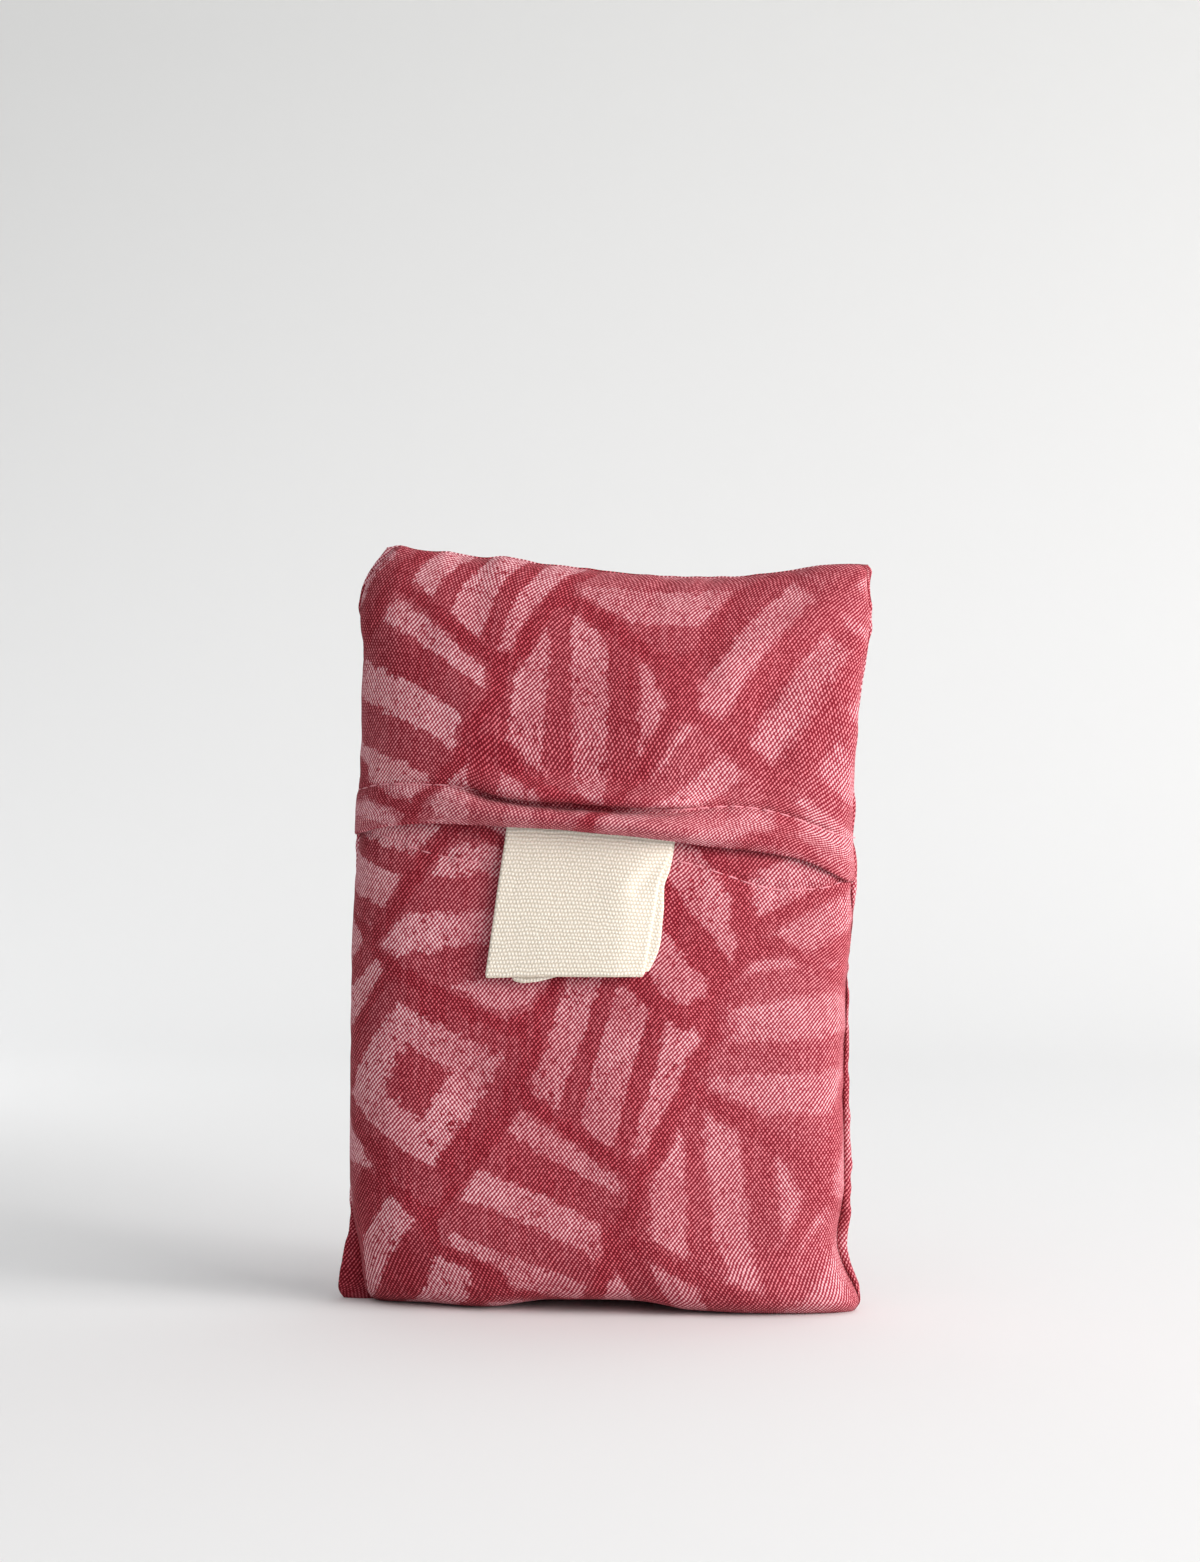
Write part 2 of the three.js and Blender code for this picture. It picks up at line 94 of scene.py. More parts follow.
pouch = {
    "seamHalf": 0.5,          # half the thickness of the sewn seam
    "seamPlane": 1.2,         # the side seams' place behind the middle of the whole
    "topSeam": 0.3,
    "lipHeight": 93.0,
    "crownStart": 112.0,
    "height": 147.0,
    "crownRoundness": 2.1,
    "underside": (1, 0.6, 0.8),    # what it keeps of the foot's edge across, in depth and in height
    "topEdgeDepth": 0.3,
    "ledge": 1.95,            # room for the flap in front of the upper part
    "ledgeRise": 12.0,
    "archFade": 12.0,         # height by which the arch below has faded out
    # how far the front's bottom edge arches clear of the floor
    "arch": columnsOf("across lift", [
        (-50, 0.0), (-44, 0.1), (-36, 0.45), (-19, 0.45), (-14.5, 1.3), (-11, 1.9), (-5, 2.1), (4, 2.2),
        (10, 2.0), (14.5, 1.3), (17, 0.8), (22.5, 0.4), (29, 0.1), (36, 0.0), (50, 0.0)]),
    "columns": 168,
    "rows": ((0, 9, 18), (9.75, 111.2, 134)),    # from one height to another, and how many
    "crownRows": 48,
    "slantGrows": (55.0, 86.0),    # heights over which the rows take on the slant of the flap's lip
    "slantFades": (108.0, 128.0),
    "leanGrows": (2.0, 22.0),
    "foldEase": 1.6,          # how soon the folds fade in from the seams
    "outline": columnsOf("height left right", [
        (0, -52.2, 50.6), (1.2, -53.1, 51.5), (4, -53.2, 51.5), (9, -52.1, 50.1), (14, -51.2, 49.0),
        (21, -50.8, 49.8), (45, -50.3, 49.4), (60, -50.1, 49.4), (72, -49.9, 49.2), (82, -49.4, 49.8),
        (93, -49.4, 50.6), (101, -48.9, 50.4), (110, -48.2, 50.3), (122, -47.8, 51.4), (130, -48.0, 52.7),
        (137, -48.8, 53.6), (141, -47.8, 53.3), (144.5, -45.5, 53.4), (146.2, -43.8, 53.5),
        (147, -43.1, 52.9)]),
    # how wide the sewn strip beside each side seam is
    "strips": columnsOf("height frontLeft frontRight backLeft backRight", [
        (0, 6.4, 0.2, 4.5, 3.2), (2.5, 6.0, 0.3, 3.8, 2.6), (5, 5.2, 0.9, 3.0, 2.0),
        (8, 4.2, 1.6, 2.2, 1.3), (11, 3.2, 2.0, 1.6, 0.9), (16, 1.5, 1.9, 1.0, 0.4),
        (24, 0.5, 1.7, 1.0, 0.4), (45, 0.4, 1.2, 1.0, 0.4), (60, 0.4, 0.6, 1.0, 0.4),
        (70, 0.4, 0.2, 1.0, 0.4), (86, 0.5, 0.2, 1.0, 0.5), (93, 1.6, 1.2, 1.0, 0.6),
        (105, 0.6, 0.3, 1.0, 0.7), (130, 0.5, 0.2, 1.0, 1.0), (140, 0.8, 0.3, 1.4, 1.8),
        (147, 1.8, 0.8, 2.6, 3.0)]),
    # how far the filling stands out in front and behind, and how square it is across
    "filling": columnsOf("height front back fullness", [
        (0, 8.2, 9.0, 2.2), (0.5, 10.4, 10.8, 2.25), (1.2, 12.0, 12.0, 2.3), (2.4, 13.6, 13.2, 2.4),
        (4.5, 14.9, 14.4, 2.5), (8, 15.9, 15.7, 2.6), (13, 16.6, 16.7, 2.7), (22, 17.1, 17.4, 2.8),
        (45, 17.3, 17.6, 2.85), (65, 16.9, 17.5, 2.85), (78, 16.0, 17.3, 2.8),
        (88, 15.0, 17.2, 2.8), (98, 14.6, 17.0, 2.8), (112, 14.5, 16.7, 2.6),
        (130, 14.2, 16.4, 2.4), (147, 13.6, 16.0, 2.2)]),
    # the filling lies more to the left in front: how far it moves the front out
    "lean": columnsOf("across shift", [
        (-1, 2.8), (-0.8, 2.7), (-0.6, 1.8), (-0.4, 1.0), (-0.15, 0.7), (0.14, 0.7), (0.3, 0.1),
        (0.5, -1.5), (0.7, -2.9), (0.85, -3.4), (1, -3.4)]),
    "topEdge": columnsOf("across height", [
        (-46, 150.6), (-43, 150.7), (-40, 150.9), (-37, 150.2), (-34, 149.8), (-30, 149.8), (-26, 148.9),
        (-23.5, 148.5), (-20, 148.8), (-16, 148.2), (-12, 147.3), (-8, 147.0), (0, 146.1), (7, 145.3),
        (19, 144.7), (27, 144.8), (35, 145.5), (43, 146.7), (54, 147.0)]),
    # each fold runs from one point to another: how wide it is, and how far it stands out or lies in
    "frontFolds": columnsOf("fromX fromZ toX toZ width size", [
        (52, 143, 27, 127, 3.6, 1.3), (53, 137, 34, 121, 3.0, -1.1), (52, 130, 41, 111, 3.2, 0.7),
        (45, 124, 47, 104, 2.6, -0.5), (-42, 147, -33, 132, 3.6, -0.7), (-47, 122, -30, 119, 4.0, -0.5),
        (49, 17, 41, 8, 2.8, -0.9), (50, 4, 38, 18, 4.5, 0.6), (-49, 4, -38, 20, 4.5, 0.7),
        (-46, 58, -24, 47, 5.0, -0.5), (-46, 30, -20, 33, 6.0, 0.4), (46, 66, 26, 58, 5.0, -0.5),
        (8, 4, 4, 20, 6.0, -0.5)]),
    "backFolds": columnsOf("fromX fromZ toX toZ width size", [
        (50, 141, 24, 120, 4.0, 0.8), (-45, 141, -26, 122, 4.0, -0.7), (50, 6, 30, 26, 5.0, 0.7),
        (-50, 6, -32, 24, 5.0, -0.6), (-46, 84, 0, 76, 6.5, -0.6), (46, 70, 8, 62, 6.5, 0.5)]),
    # the stitches of the lower front panel's hem
    "hemStitch": columnsOf("across height", [
        (-52, 97.5), (-44, 94.5), (-40, 93.1), (-31, 90.3), (-21, 88.6), (0, 88.3), (18, 89.0),
        (26, 86.6), (31, 84.8), (36, 83.6), (41, 83.5), (46, 84.1), (52, 87.0)]),
    # the rolled edge beyond the side seam: from the outline in to the ditch beside the body
    "rolledEdge": columnsOf("share thick", [
        (0, 0.3), (0.1, 0.7), (0.28, 1.1), (0.5, 1.3), (0.72, 1.2), (0.88, 0.9), (0.97, 0.2)]),
    "edgeWobble": 0.22,       # how far the sewn edges stray
    "edgeFirm": ((2, 6), (146, 141)),    # heights over which that sets in from the foot and from the top
    "leftWaves": [(5, 1, 61, 1.0), (2.2, 1, 62, 1.0)],
    "rightWaves": [(6, 1, 63, 1.0), (2.4, 1, 64, 1.0)],
    "topWaves": [(2.4, 1, 65, 0.12)],
    "seeds": {-1: 11, 1: 31},    # of the soft noise on the front and on the back
    "printShifts": ((44, 3), (20, 60)),    # which stretch of the print lies on the front and on the back
    "undulation": 0.4,        # height of the soft lumps of the folded bag inside
    "lumps": [(21, 24, 0, 1.0), (9, 12, 1, 0.5)],
    "sideGathers": [(3.6, 16, 2, 1.0), (7.5, 20, 3, 0.6)],
    "topGathers": [(4.2, 18, 4, 1.0)],
    "gatherHeights": (0.42, 0.42),    # of the small gathers along the side seams and the top seam
    "gatherStart": (0.3, 2.5),    # distances from a seam over which they set in
    "footFirm": (0.5, 6),     # heights over which the lumps and gathers grow from the foot
    "groove": 0.42,           # how deep the hem's stitches lie, and how wide their groove is
    "grooveWidth": 0.9,
    "grooveWaves": [(1.7, 30, 41, 0.5)],
    "hemStep": 0.22,          # how far the doubled cloth of the hem stands out
    "hemEdge": (0, 1.6),      # distances above its stitches over which that sets in
    "hemTop": (120, 104),     # heights over which it fades out under the flap
    "hemGathers": [(2.6, 9, 43, 1.0)],
    "hemGatherHeight": 0.14,
}

gatherReach = (6.5, 6)        # how far the gathers run in from the side seams and the top seam
stitchReach = 3.5             # how far they run from a row of stitches
bodyEase = (0.02, 0.5)        # shares of the full depth over which the lumps and grooves grow

flap = {
    "gap": 0.3,
    "hemThickness": 0.9,
    "thickness": 0.7,
    "held": (6.0, 11.5),      # the label lifts the flap up to here above the lip, and it closes by there
    "rows": ((0, 13, 40), (13.5, 18.4, 9)),
    "crownRows": 56,
    "moreColumns": 8,
    "rimRows": 3,
    "hemEnd": (0.9, 1.15),    # shares of the hem's width over which its thickness ends
    # along the lip: its height, how far the label lifts it, its hem's width and how much the hem bulges
    "lip": columnsOf("across height lift stitchRise bulge", [
        (-49, 93.8, 0.0, 8.4, 0.3), (-42, 95.7, 0.6, 8.3, 0.4), (-32, 96.9, 1.8, 7.3, 0.6),
        (-22, 96.7, 3.0, 6.5, 1.5), (-17, 96.4, 3.3, 5.3, 1.9), (0, 95.3, 3.7, 4.6, 2.0),
        (17, 93.4, 3.4, 6.1, 1.7), (23, 92.6, 2.4, 7.5, 1.2), (33, 91.6, 1.2, 7.7, 0.8),
        (42, 89.5, 0.4, 7.1, 0.6), (50, 85.2, 0.0, 8.7, 0.4)]),
    # how the hem swells, from the lip at 0 past its stitches at 1
    "roll": columnsOf("share swell", [
        (0, -0.5), (0.1, 0.2), (0.25, 0.75), (0.45, 0.95), (0.68, 0.55), (0.85, -0.25), (1.0, -0.75),
        (1.12, -0.3), (1.4, 0.35), (2.2, 0.35), (4.0, 0.0)]),
    "undulation": 0.3,
    "lumps": [(19, 22, 51, 1.0), (9, 11, 52, 0.5)],
    "sideGathers": [(3.8, 15, 53, 1.0), (8, 20, 54, 0.6)],
    "topGathers": [(4.2, 18, 55, 1.0)],
    "gatherHeights": (0.42, 0.4),
    "gatherStart": (0.2, 2),
    "groove": 0.5,
    "grooveWidth": 0.62,
    "valley": 0.45,           # how much deeper the stitches lie above the label
    "aboveLabel": ((-28, -18), (26, 14)),
    "puff": (0.6, 1.5, 1.2),    # the cloth's swell above them: its height, place and width
    "stitchGathers": [(2.4, 10, 56, 1.0)],
    "stitchGatherHeight": 0.16,
    "pulled": (20, 1.5),      # how far from the stitches the cloth begins to run down into them
    "shear": 0.33,            # how far the hem's weave is pulled aside
    "printShift": (70, 2),
    "hemPaler": 0.3,          # how much paler the print is on the hem
}

label = {
    "width": 32.0,
    "thickness": 0.65,
    "gap": 0.25,
    "behind": 0.35,           # from the pouch to the back layer
    "foldTop": 98.6,
    "layerRows": 74,
    "foldRows": 12,
    "columns": 76,
    "rimRows": 2,
    "waves": [(14, 18, 71, 0.25)],
    "curled": (0.8, 1),       # shares of the width over which the right edge curls
    "drawn": (0.5, 1),        # and over which it draws back
    "backShift": 0.9,
    # where the tape's middle hangs, and how far it stands off the pouch
    "hang": columnsOf("height middle stand", [
        (64, -3.9, 1.0), (66, -3.6, 0.9), (74, -2.4, 0.5), (84, -1.0, 0.15), (92, 0.1, 0.0),
        (100, 0.8, 0.0)]),
    # the heights of both layers' lower ends, from the left edge at 0 to the right one at 1
    "ends": columnsOf("place front back", [
        (0, 65.8, 67.6), (0.1, 65.95, 67.6), (0.13, 66.0, 65.7), (0.17, 66.1, 65.2),
        (0.26, 66.2, 65.3), (0.42, 66.4, 66.5), (0.55, 66.5, 67.4), (1, 67.0, 67.8)]),
    # how far each layer's right edge draws back, and how far the front one curls
    "rightEdge": columnsOf("height front back curl", [
        (60, 1.7, 3.0, 0.25), (66.9, 1.7, 2.4, 0.3), (69, 1.7, 1.4, 0.3), (71.5, 1.65, 0.6, 0.3),
        (77, 1.6, 0.5, 0.3), (80, 1.6, 0.6, 0.35), (82.4, 1.65, 0.9, 0.35), (84, 1.6, 1.0, 0.35),
        (86.7, 1.3, 0.4, 0.3), (88.6, 0.6, 0.2, 0.25), (93.4, 0.0, 0.0, 0.0), (100, 0.0, 0.0, 0.0)]),
    # creases of the front layer, as the pouch's folds
    "crease": columnsOf("fromX fromZ toX toZ width size", [
        (16, 89.5, 11, 83, 1.6, -0.3), (13, 90, 7, 82, 3.6, 0.17), (9, 82, 8, 72, 4.0, 0.1)]),
}


# the middle and half the width of the filled front, where side is -1, or of the back, where it is 1
def spanAt(height, side):
    left, right = (readAt(pouch["outline"], name, height) for name in ("left", "right"))
    names = ("frontLeft", "frontRight") if side < 0 else ("backLeft", "backRight")
    stripLeft, stripRight = (readAt(pouch["strips"], name, height) for name in names)
    ledge = ledgeAt(height) if side < 0 else 0
    start, end = left + stripLeft + ledge, right - stripRight - ledge
    return (start + end) / 2, (end - start) / 2


def ledgeAt(height):
    return pouch["ledge"] * smoothStep(height, pouch["lipHeight"], pouch["lipHeight"] + pouch["ledgeRise"])


# rows near the lip follow its slant, and the upper ones reach the top edge
def trueHeight(height, x, drop):
    near = smoothStep(height, *pouch["slantGrows"])
    far = smoothStep(height, *pouch["slantFades"])
    slant = (readAt(flap["lip"], "height", x) - pouch["lipHeight"]) * near * (1 - far)
    rise = np.maximum(height - pouch["crownStart"], 0) / (pouch["height"] - pouch["crownStart"])
    reach = topAt(x) - drop - pouch["height"]
    return height + slant + reach * rise


def topAt(x):
    return readAt(pouch["topEdge"], "height", x) + noiseSum(x, 0, pouch["topWaves"])


def foldSize(folds, x, z):
    size = 0
    for fromX, fromZ, toX, toZ, width, high in zip(*folds.values()):
        runX, runZ = toX - fromX, toZ - fromZ
        along = np.clip(((x - fromX) * runX + (z - fromZ) * runZ) / (runX ** 2 + runZ ** 2), 0, 1)
        away = np.hypot(x - fromX - along * runX, z - fromZ - along * runZ) / width
        size = size + high * np.exp(-away * away)
    return size


# how far the face stands out, and the share of it that is left towards the sides
def faceDepth(heights, across, side):
    depth = readAt(pouch["filling"], "front" if side < 0 else "back", heights)
    fullness = readAt(pouch["filling"], "fullness", heights)
    lean = readAt(pouch["lean"], "shift", across) * smoothStep(heights, *pouch["leanGrows"]) * (side < 0)
    return depth + lean, (1 - np.abs(across) ** fullness) ** (1 / fullness)


def foldsOn(side, x, height, swell):
    folds = pouch["frontFolds" if side < 0 else "backFolds"]
    return foldSize(folds, x, height) * np.minimum(swell * pouch["foldEase"], 1)


# points of the pouch's front or back, or of what lies that far outside it
def coverPoints(heights, shares, across, side, outwards):
    middle, half = spanAt(heights, side)
    depth, swell = faceDepth(heights, across, side)
    ledge = ledgeAt(heights) if side < 0 else 0
    x = middle + across * (half + outwards)
    height = trueHeight(heights, x, pouch["topSeam"] + ledge - outwards)
    arch = readAt(pouch["arch"], "lift", x) * np.maximum(1 - height / pouch["archFade"], 0) * (side < 0)
    folds = foldsOn(side, x, height, swell)
    rest = pouch["seamHalf"] + np.where(outwards > 0, flap["gap"], 0)
    y = side * (rest + (depth + outwards - rest + folds) * swell * shares)
    return np.stack(np.broadcast_arrays(x, y, height + arch), axis=-1), swell * shares


def gridNormals(points, side):
    across = np.gradient(points, axis=1)
    up = np.gradient(points, axis=0)
    normals = np.cross(across, up) * (1 if side < 0 else -1)
    return normals / np.maximum(np.linalg.norm(normals, axis=-1, keepdims=True), tiny)


# how far along the cloth each point lies, across from the middle and up from the first row
def clothPlaces(points, evened=0.7):
    stepU = np.linalg.norm(np.diff(points, axis=1), axis=-1)
    stepV = np.linalg.norm(np.diff(points, axis=0), axis=-1)
    u = np.concatenate([np.zeros((len(points), 1)), np.cumsum(stepU, axis=1)], axis=1)
    v = np.concatenate([np.zeros((1, points.shape[1])), np.cumsum(stepV, axis=0)], axis=0)
    middle = points.shape[1] // 2
    u = u - u[:, middle:middle + 1]
    v = evened * v[:, middle:middle + 1] + (1 - evened) * v
    return np.stack([u, v], axis=-1)


# The print: patches of brushed stripes between dark lines, in millimetres of cloth

printDesign = {
    "scale": 1.16,
    "repeatU": 92.0,
    "repeatV": 98.0,
    "turn": 14.0,             # degrees by which the whole design is turned
    "patchSize": 0.8,         # how soon a patch ends, and a lozenge closes, from their middles
    "lozengeSize": 0.78,
    "stripeShift": 0.37,      # the share of a period by which each patch's stripes are moved on
    "stripeWidth": 1.1,
    "line": 2.0,              # half the width of the dark lines between the patches
    "lineCore": 0.6,          # the share of it that is darkest
    "groundTone": 0.03,
    # rows of soft noise: how far the shapes are bent out of true, the brush's streaks along each stripe,
    # the stripes' widths, the patches' borders, the dark lines' widths, and the ground's tone
    "bendU": [(24, 24, 5, 2.2)],
    "bendV": [(24, 24, 6, 2.2)],
    "streaks": [(9.0, 1.3, 30, 0.55)],
    "widths": [(22, 8, 60, 0.22)],
    "borders": [(3, 3, 77, 0.5)],
    "lines": [(16, 16, 78, 0.5)],
    "ground": [(11, 11, 8, 0.08), (4, 4, 9, 0.05)],
    "cornerSide": (-45.0, -48.0),    # the lower left corner that a dark line covers: partly its own dark print, partly painted shade where the ear lies in the body's shadow
    "cornerTop": (24, 14),
    "cornerInkAndShade": 3.0,
    # middle is the tone between a patch's stripes, and ring makes them closed lozenges
    "patches": columnsOf("u v angle period share middle ring", [
        (12, 10, 38, 11.0, 0.50, 0.0, 0), (40, 15, -42, 11.5, 0.42, 0.15, 0),
        (70, 10, 78, 10.5, 0.50, 0.1, 0), (90, 32, -12, 12.0, 0.50, 0.2, 0),
        (60, 38, 55, 10.5, 0.55, 0.05, 0), (26, 42, 0, 12.0, 0.50, 0.1, 1),
        (6, 62, 22, 11.0, 0.52, 0.05, 0), (42, 66, -8, 12.0, 0.46, 0.25, 0),
        (74, 62, -62, 11.0, 0.52, 0.0, 0), (24, 88, -35, 10.5, 0.54, 0.15, 0),
        (56, 88, 84, 11.5, 0.45, 0.05, 0), (86, 86, 30, 11.0, 0.50, 0.2, 0)]),
}

# weaker, stronger and washed each set in between two places, in millimetres across from the middle
printWear = {
    "drift": [(30, 30, 17, 8)],    # how far the worn regions stray
    "strength": 0.94,
    "weaker": (-38, -8),
    "weakerBy": 0.26,
    "stronger": (5, 30),
    "strongerBy": 0.15,
    "patchy": [(7, 7, 21, 0.16)],
    "washed": (-6, 50),
    "cracked": [(8, 8, 18, 1.0)],
    "washMends": 1.1,         # cracks don't show where the print is washed out
    "mended": (0.0, 0.6),     # from cracked to whole
}


# runs the print's dark line over the lower left corner: partly the corner's own dark print, partly painted
# shade, as the ear there lies in the body's shadow
def cornerPrintAndPaintedShade(ink, points):
    # painted shade: the ear behind the body's bulge is darkened as if the body shaded it
    corner = smoothStep(points[..., 0], *printDesign["cornerSide"])
    corner *= smoothStep(points[..., 2], *printDesign["cornerTop"])
    depth = printDesign["cornerInkAndShade"]
    ink[..., 1] = np.maximum(ink[..., 1], corner * 2 * depth - depth)
    return ink


# distances into the stripes and into the dark lines, with the ground's tone
def inkAt(places, shiftU, shiftV):
    turn = math.radians(printDesign["turn"])
    u, v = places[..., 0] / printDesign["scale"] + shiftU, places[..., 1] / printDesign["scale"] + shiftV
    u, v = u * math.cos(turn) + v * math.sin(turn), v * math.cos(turn) - u * math.sin(turn)
    u = u + noiseSum(u, v, printDesign["bendU"])
    v = v + noiseSum(u, v, printDesign["bendV"])
    sizeU, sizeV = printDesign["repeatU"], printDesign["repeatV"]
    first = np.full(u.shape, np.inf)
    second, stripe, between = first.copy(), np.zeros(u.shape), np.zeros(u.shape)
    patches = enumerate(zip(*printDesign["patches"].values()))
    for number, (patchU, patchV, angle, period, share, middle, ring) in patches:
        du = (u - patchU + sizeU / 2) % sizeU - sizeU / 2
        dv = (v - patchV + sizeV / 2) % sizeV - sizeV / 2
        away = (np.abs(du) + np.abs(dv)) * printDesign["patchSize"]
        cosine, sine = math.cos(math.radians(angle)), math.sin(math.radians(angle))
        along, across = du * cosine + dv * sine, dv * cosine - du * sine
        if ring:
            across = (np.abs(along) + np.abs(across)) * printDesign["lozengeSize"]
        across = across + noiseSum(along, across, printDesign["streaks"], number)
        wider = noiseSum(along, across, printDesign["widths"], number, printDesign["stripeWidth"])
        shifted = across + period * number * printDesign["stripeShift"]
        found = share * period * wider / 2 - np.abs(shifted % period - period / 2)
        nearer = away < first
        second = np.where(nearer, first, np.minimum(second, away))
        first = np.where(nearer, away, first)
        stripe = np.where(nearer, found, stripe)
        between = np.where(nearer, middle, between)
    border = (second - first) / 2 + noiseSum(u, v, printDesign["borders"])
    line = printDesign["line"] * noiseSum(u, v, printDesign["lines"], base=1)
    ground = noiseSum(u, v, printDesign["ground"], base=printDesign["groundTone"])
    inLine = line * printDesign["lineCore"] - border
    return np.stack([np.minimum(stripe, border - line), inLine, between + ground], axis=-1)


# how strong the print is, how far it is washed out, and where it isn't cracked
def wearAt(places, shiftU, shiftV):
    u, v = places[..., 0] + shiftU, places[..., 1] + shiftV
    fromMiddle = places[..., 0] + noiseSum(u, v, printWear["drift"])
    weaker, stronger = (smoothStep(fromMiddle, *printWear[name]) for name in ("weaker", "stronger"))
    strength = printWear["strength"] - printWear["weakerBy"] * weaker + printWear["strongerBy"] * stronger
    strength += noiseSum(u, v, printWear["patchy"])
    wash = smoothStep(fromMiddle, *printWear["washed"])
    whole = noiseSum(u, v, printWear["cracked"]) + printWear["washMends"] * wash
    return np.stack([strength, wash, smoothStep(whole, *printWear["mended"])], axis=-1)


# Building meshes from grids of points

# a closed mesh from two grids whose rims are joined, with a round rim if rimRows is above 0
def closedMesh(name, outer, inner, places, layers, rimRows=0):
    rows, columns = outer.shape[:2]
    index = np.arange(rows * columns).reshape(rows, columns)
    a, b, c, d = index[:-1, :-1], index[:-1, 1:], index[1:, 1:], index[1:, :-1]
    front = np.stack([a, b, c, d], -1).reshape(-1, 4)
    back = np.stack([a, d, c, b], -1).reshape(-1, 4) + rows * columns
    loop = np.concatenate([index[0, :], index[1:, -1], index[-1, -2::-1], index[-2:0:-1, 0]])
    flatOuter, flatInner = outer.reshape(-1, 3), inner.reshape(-1, 3)
    points = [flatOuter, flatInner]
    placesAll = [places[0].reshape(-1, 2), places[1].reshape(-1, 2)]
    layersAll = {key: [grid.reshape(-1, 3) for grid in grids] for key, grids in layers.items()}
    # the rim's loops run from the outer grid's border to the inner grid's
    nextIn = np.concatenate([index[1, :], index[1:, -2], index[-2, -2::-1], index[-2:0:-1, 1]])
    middle = (flatOuter[loop] + flatInner[loop]) / 2
    reach = flatOuter[loop] - flatOuter[nextIn]
    reach /= np.maximum(np.linalg.norm(reach, axis=1, keepdims=True), tiny)
    halfSize = np.linalg.norm(flatOuter[loop] - flatInner[loop], axis=1, keepdims=True) / 2
    loops = [loop]
    count = 2 * rows * columns
    for turn in range(1, rimRows + 1):
        angle = math.pi * turn / (rimRows + 1)
        ring = middle + (flatOuter[loop] - middle) * math.cos(angle) + reach * halfSize * math.sin(angle)
        points.append(ring)
        placesAll.append(placesAll[0][loop])
        for grids in layersAll.values():
            grids.append(grids[0][loop])
        loops.append(np.arange(count, count + len(loop)))
        count += len(loop)
    loops.append(loop + rows * columns)
    rims = []
    for first, second in zip(loops, loops[1:]):
        rims.append(np.stack([first, second, np.roll(second, -1), np.roll(first, -1)], -1))
    faces = np.concatenate([front, back, *rims])
    mesh = bpy.data.meshes.new(name)
    mesh.from_pydata((np.concatenate(points) * mm).tolist(), [], faces.tolist())
    mesh.polygons.foreach_set("use_smooth", np.ones(len(mesh.polygons), bool))
    corner = np.zeros(len(mesh.loops), np.int32)
    mesh.loops.foreach_get("vertex_index", corner)
    placesAll = np.concatenate(placesAll)
    uv = mesh.uv_layers.new(name="clothPlace")
    uv.data.foreach_set("uv", (placesAll[corner] * mm).astype(np.float32).ravel())
    for key, grids in layersAll.items():
        attribute = mesh.attributes.new(key, "FLOAT_VECTOR", "POINT")
        attribute.data.foreach_set("vector", np.concatenate(grids).astype(np.float32).ravel())
    mesh.update()
    piece = bpy.data.objects.new(name, mesh)
    bpy.context.scene.collection.objects.link(piece)
    return piece


# places across a face from -1 to 1, closer together towards the side seams
def acrossPlaces(count):
    return np.sin(np.linspace(-1, 1, count) * math.pi / 2)[None, :]


# heights up over the crown, and the share of the depth that is left at each
def crownRows(count):
    turns = np.linspace(0, math.pi / 2, count + 1)
    power = 2 / pouch["crownRoundness"]
    rise = pouch["height"] - pouch["crownStart"]
    shares = np.cos(turns).clip(0) ** power
    shares[-1] = 0
    return pouch["crownStart"] + rise * np.sin(turns) ** power, shares


# the heights of a cloth's rows, from its lower edge up, and the share of the depth at each
def rowsOf(cloth, lowest):
    low = np.concatenate([np.linspace(*span) for span in cloth["rows"]]) + lowest
    high, highShares = crownRows(cloth["crownRows"])
    return np.concatenate([low, high])[:, None], np.concatenate([np.ones(len(low)), highShares])[:, None]


# one face of the pouch, from the flat foot up to the top edge
def pouchFace(side):
    heights, shares = rowsOf(pouch, 0)
    points, swell = coverPoints(heights, shares, acrossPlaces(pouch["columns"]), side, 0.0)
    # the sewn strips at both sides, rounded at their edges
    firm = math.prod(smoothStep(heights, *span) for span in pouch["edgeFirm"])
    strips = []
    for name, column, way in (("left", 0, 1), ("right", -1, -1)):
        wobble = pouch["edgeWobble"] * noiseSum(heights, 0, pouch[name + "Waves"]) * firm
        edge = (readAt(pouch["outline"], name, heights) + wobble)[:, 0]
        columns = []
        for share, thick in zip(*pouch["rolledEdge"].values()):
            x = edge + (points[:, column, 0] - edge) * share
            z = trueHeight(heights[:, 0], x, pouch["topSeam"])
            columns.append(np.stack([x, np.full(len(x), side * pouch["seamHalf"] * thick), z], -1))
        strips.append(np.stack(columns[::way], axis=1))
    points = np.concatenate([strips[0], points, strips[1]], axis=1)
    swell = np.pad(swell, ((0, 0), (len(columns), len(columns))))
    foot = points[:1] * np.array(pouch["underside"])
    top = points[-1:].copy()
    top[..., 2] = topAt(top[..., 0])
    top[..., 1] *= pouch["topEdgeDepth"]
    points = np.concatenate([foot, points, top], axis=0)
    swell = np.concatenate([swell[:1], swell, swell[-1:] * 0], axis=0)
    return detailed(points, swell, side)


# adds the small gathers along the side seams and the top seam to a cloth's relief
def gathered(height, places, cloth, seed=0):
    u, v = places[..., 0], places[..., 1]
    fromSide, fromTop = np.minimum(u - u[:, :1], u[:, -1:] - u), v[-1:] - v
    seams = ((v, fromSide, "sideGathers"), (u, fromTop, "topGathers"))
    for (along, away, name), size, reach in zip(seams, cloth["gatherHeights"], gatherReach):
        gathers = noiseSum(along, away, cloth[name], seed) * size
        height = height + gathers * np.exp(-away / reach) * smoothStep(away, *cloth["gatherStart"])
    return height


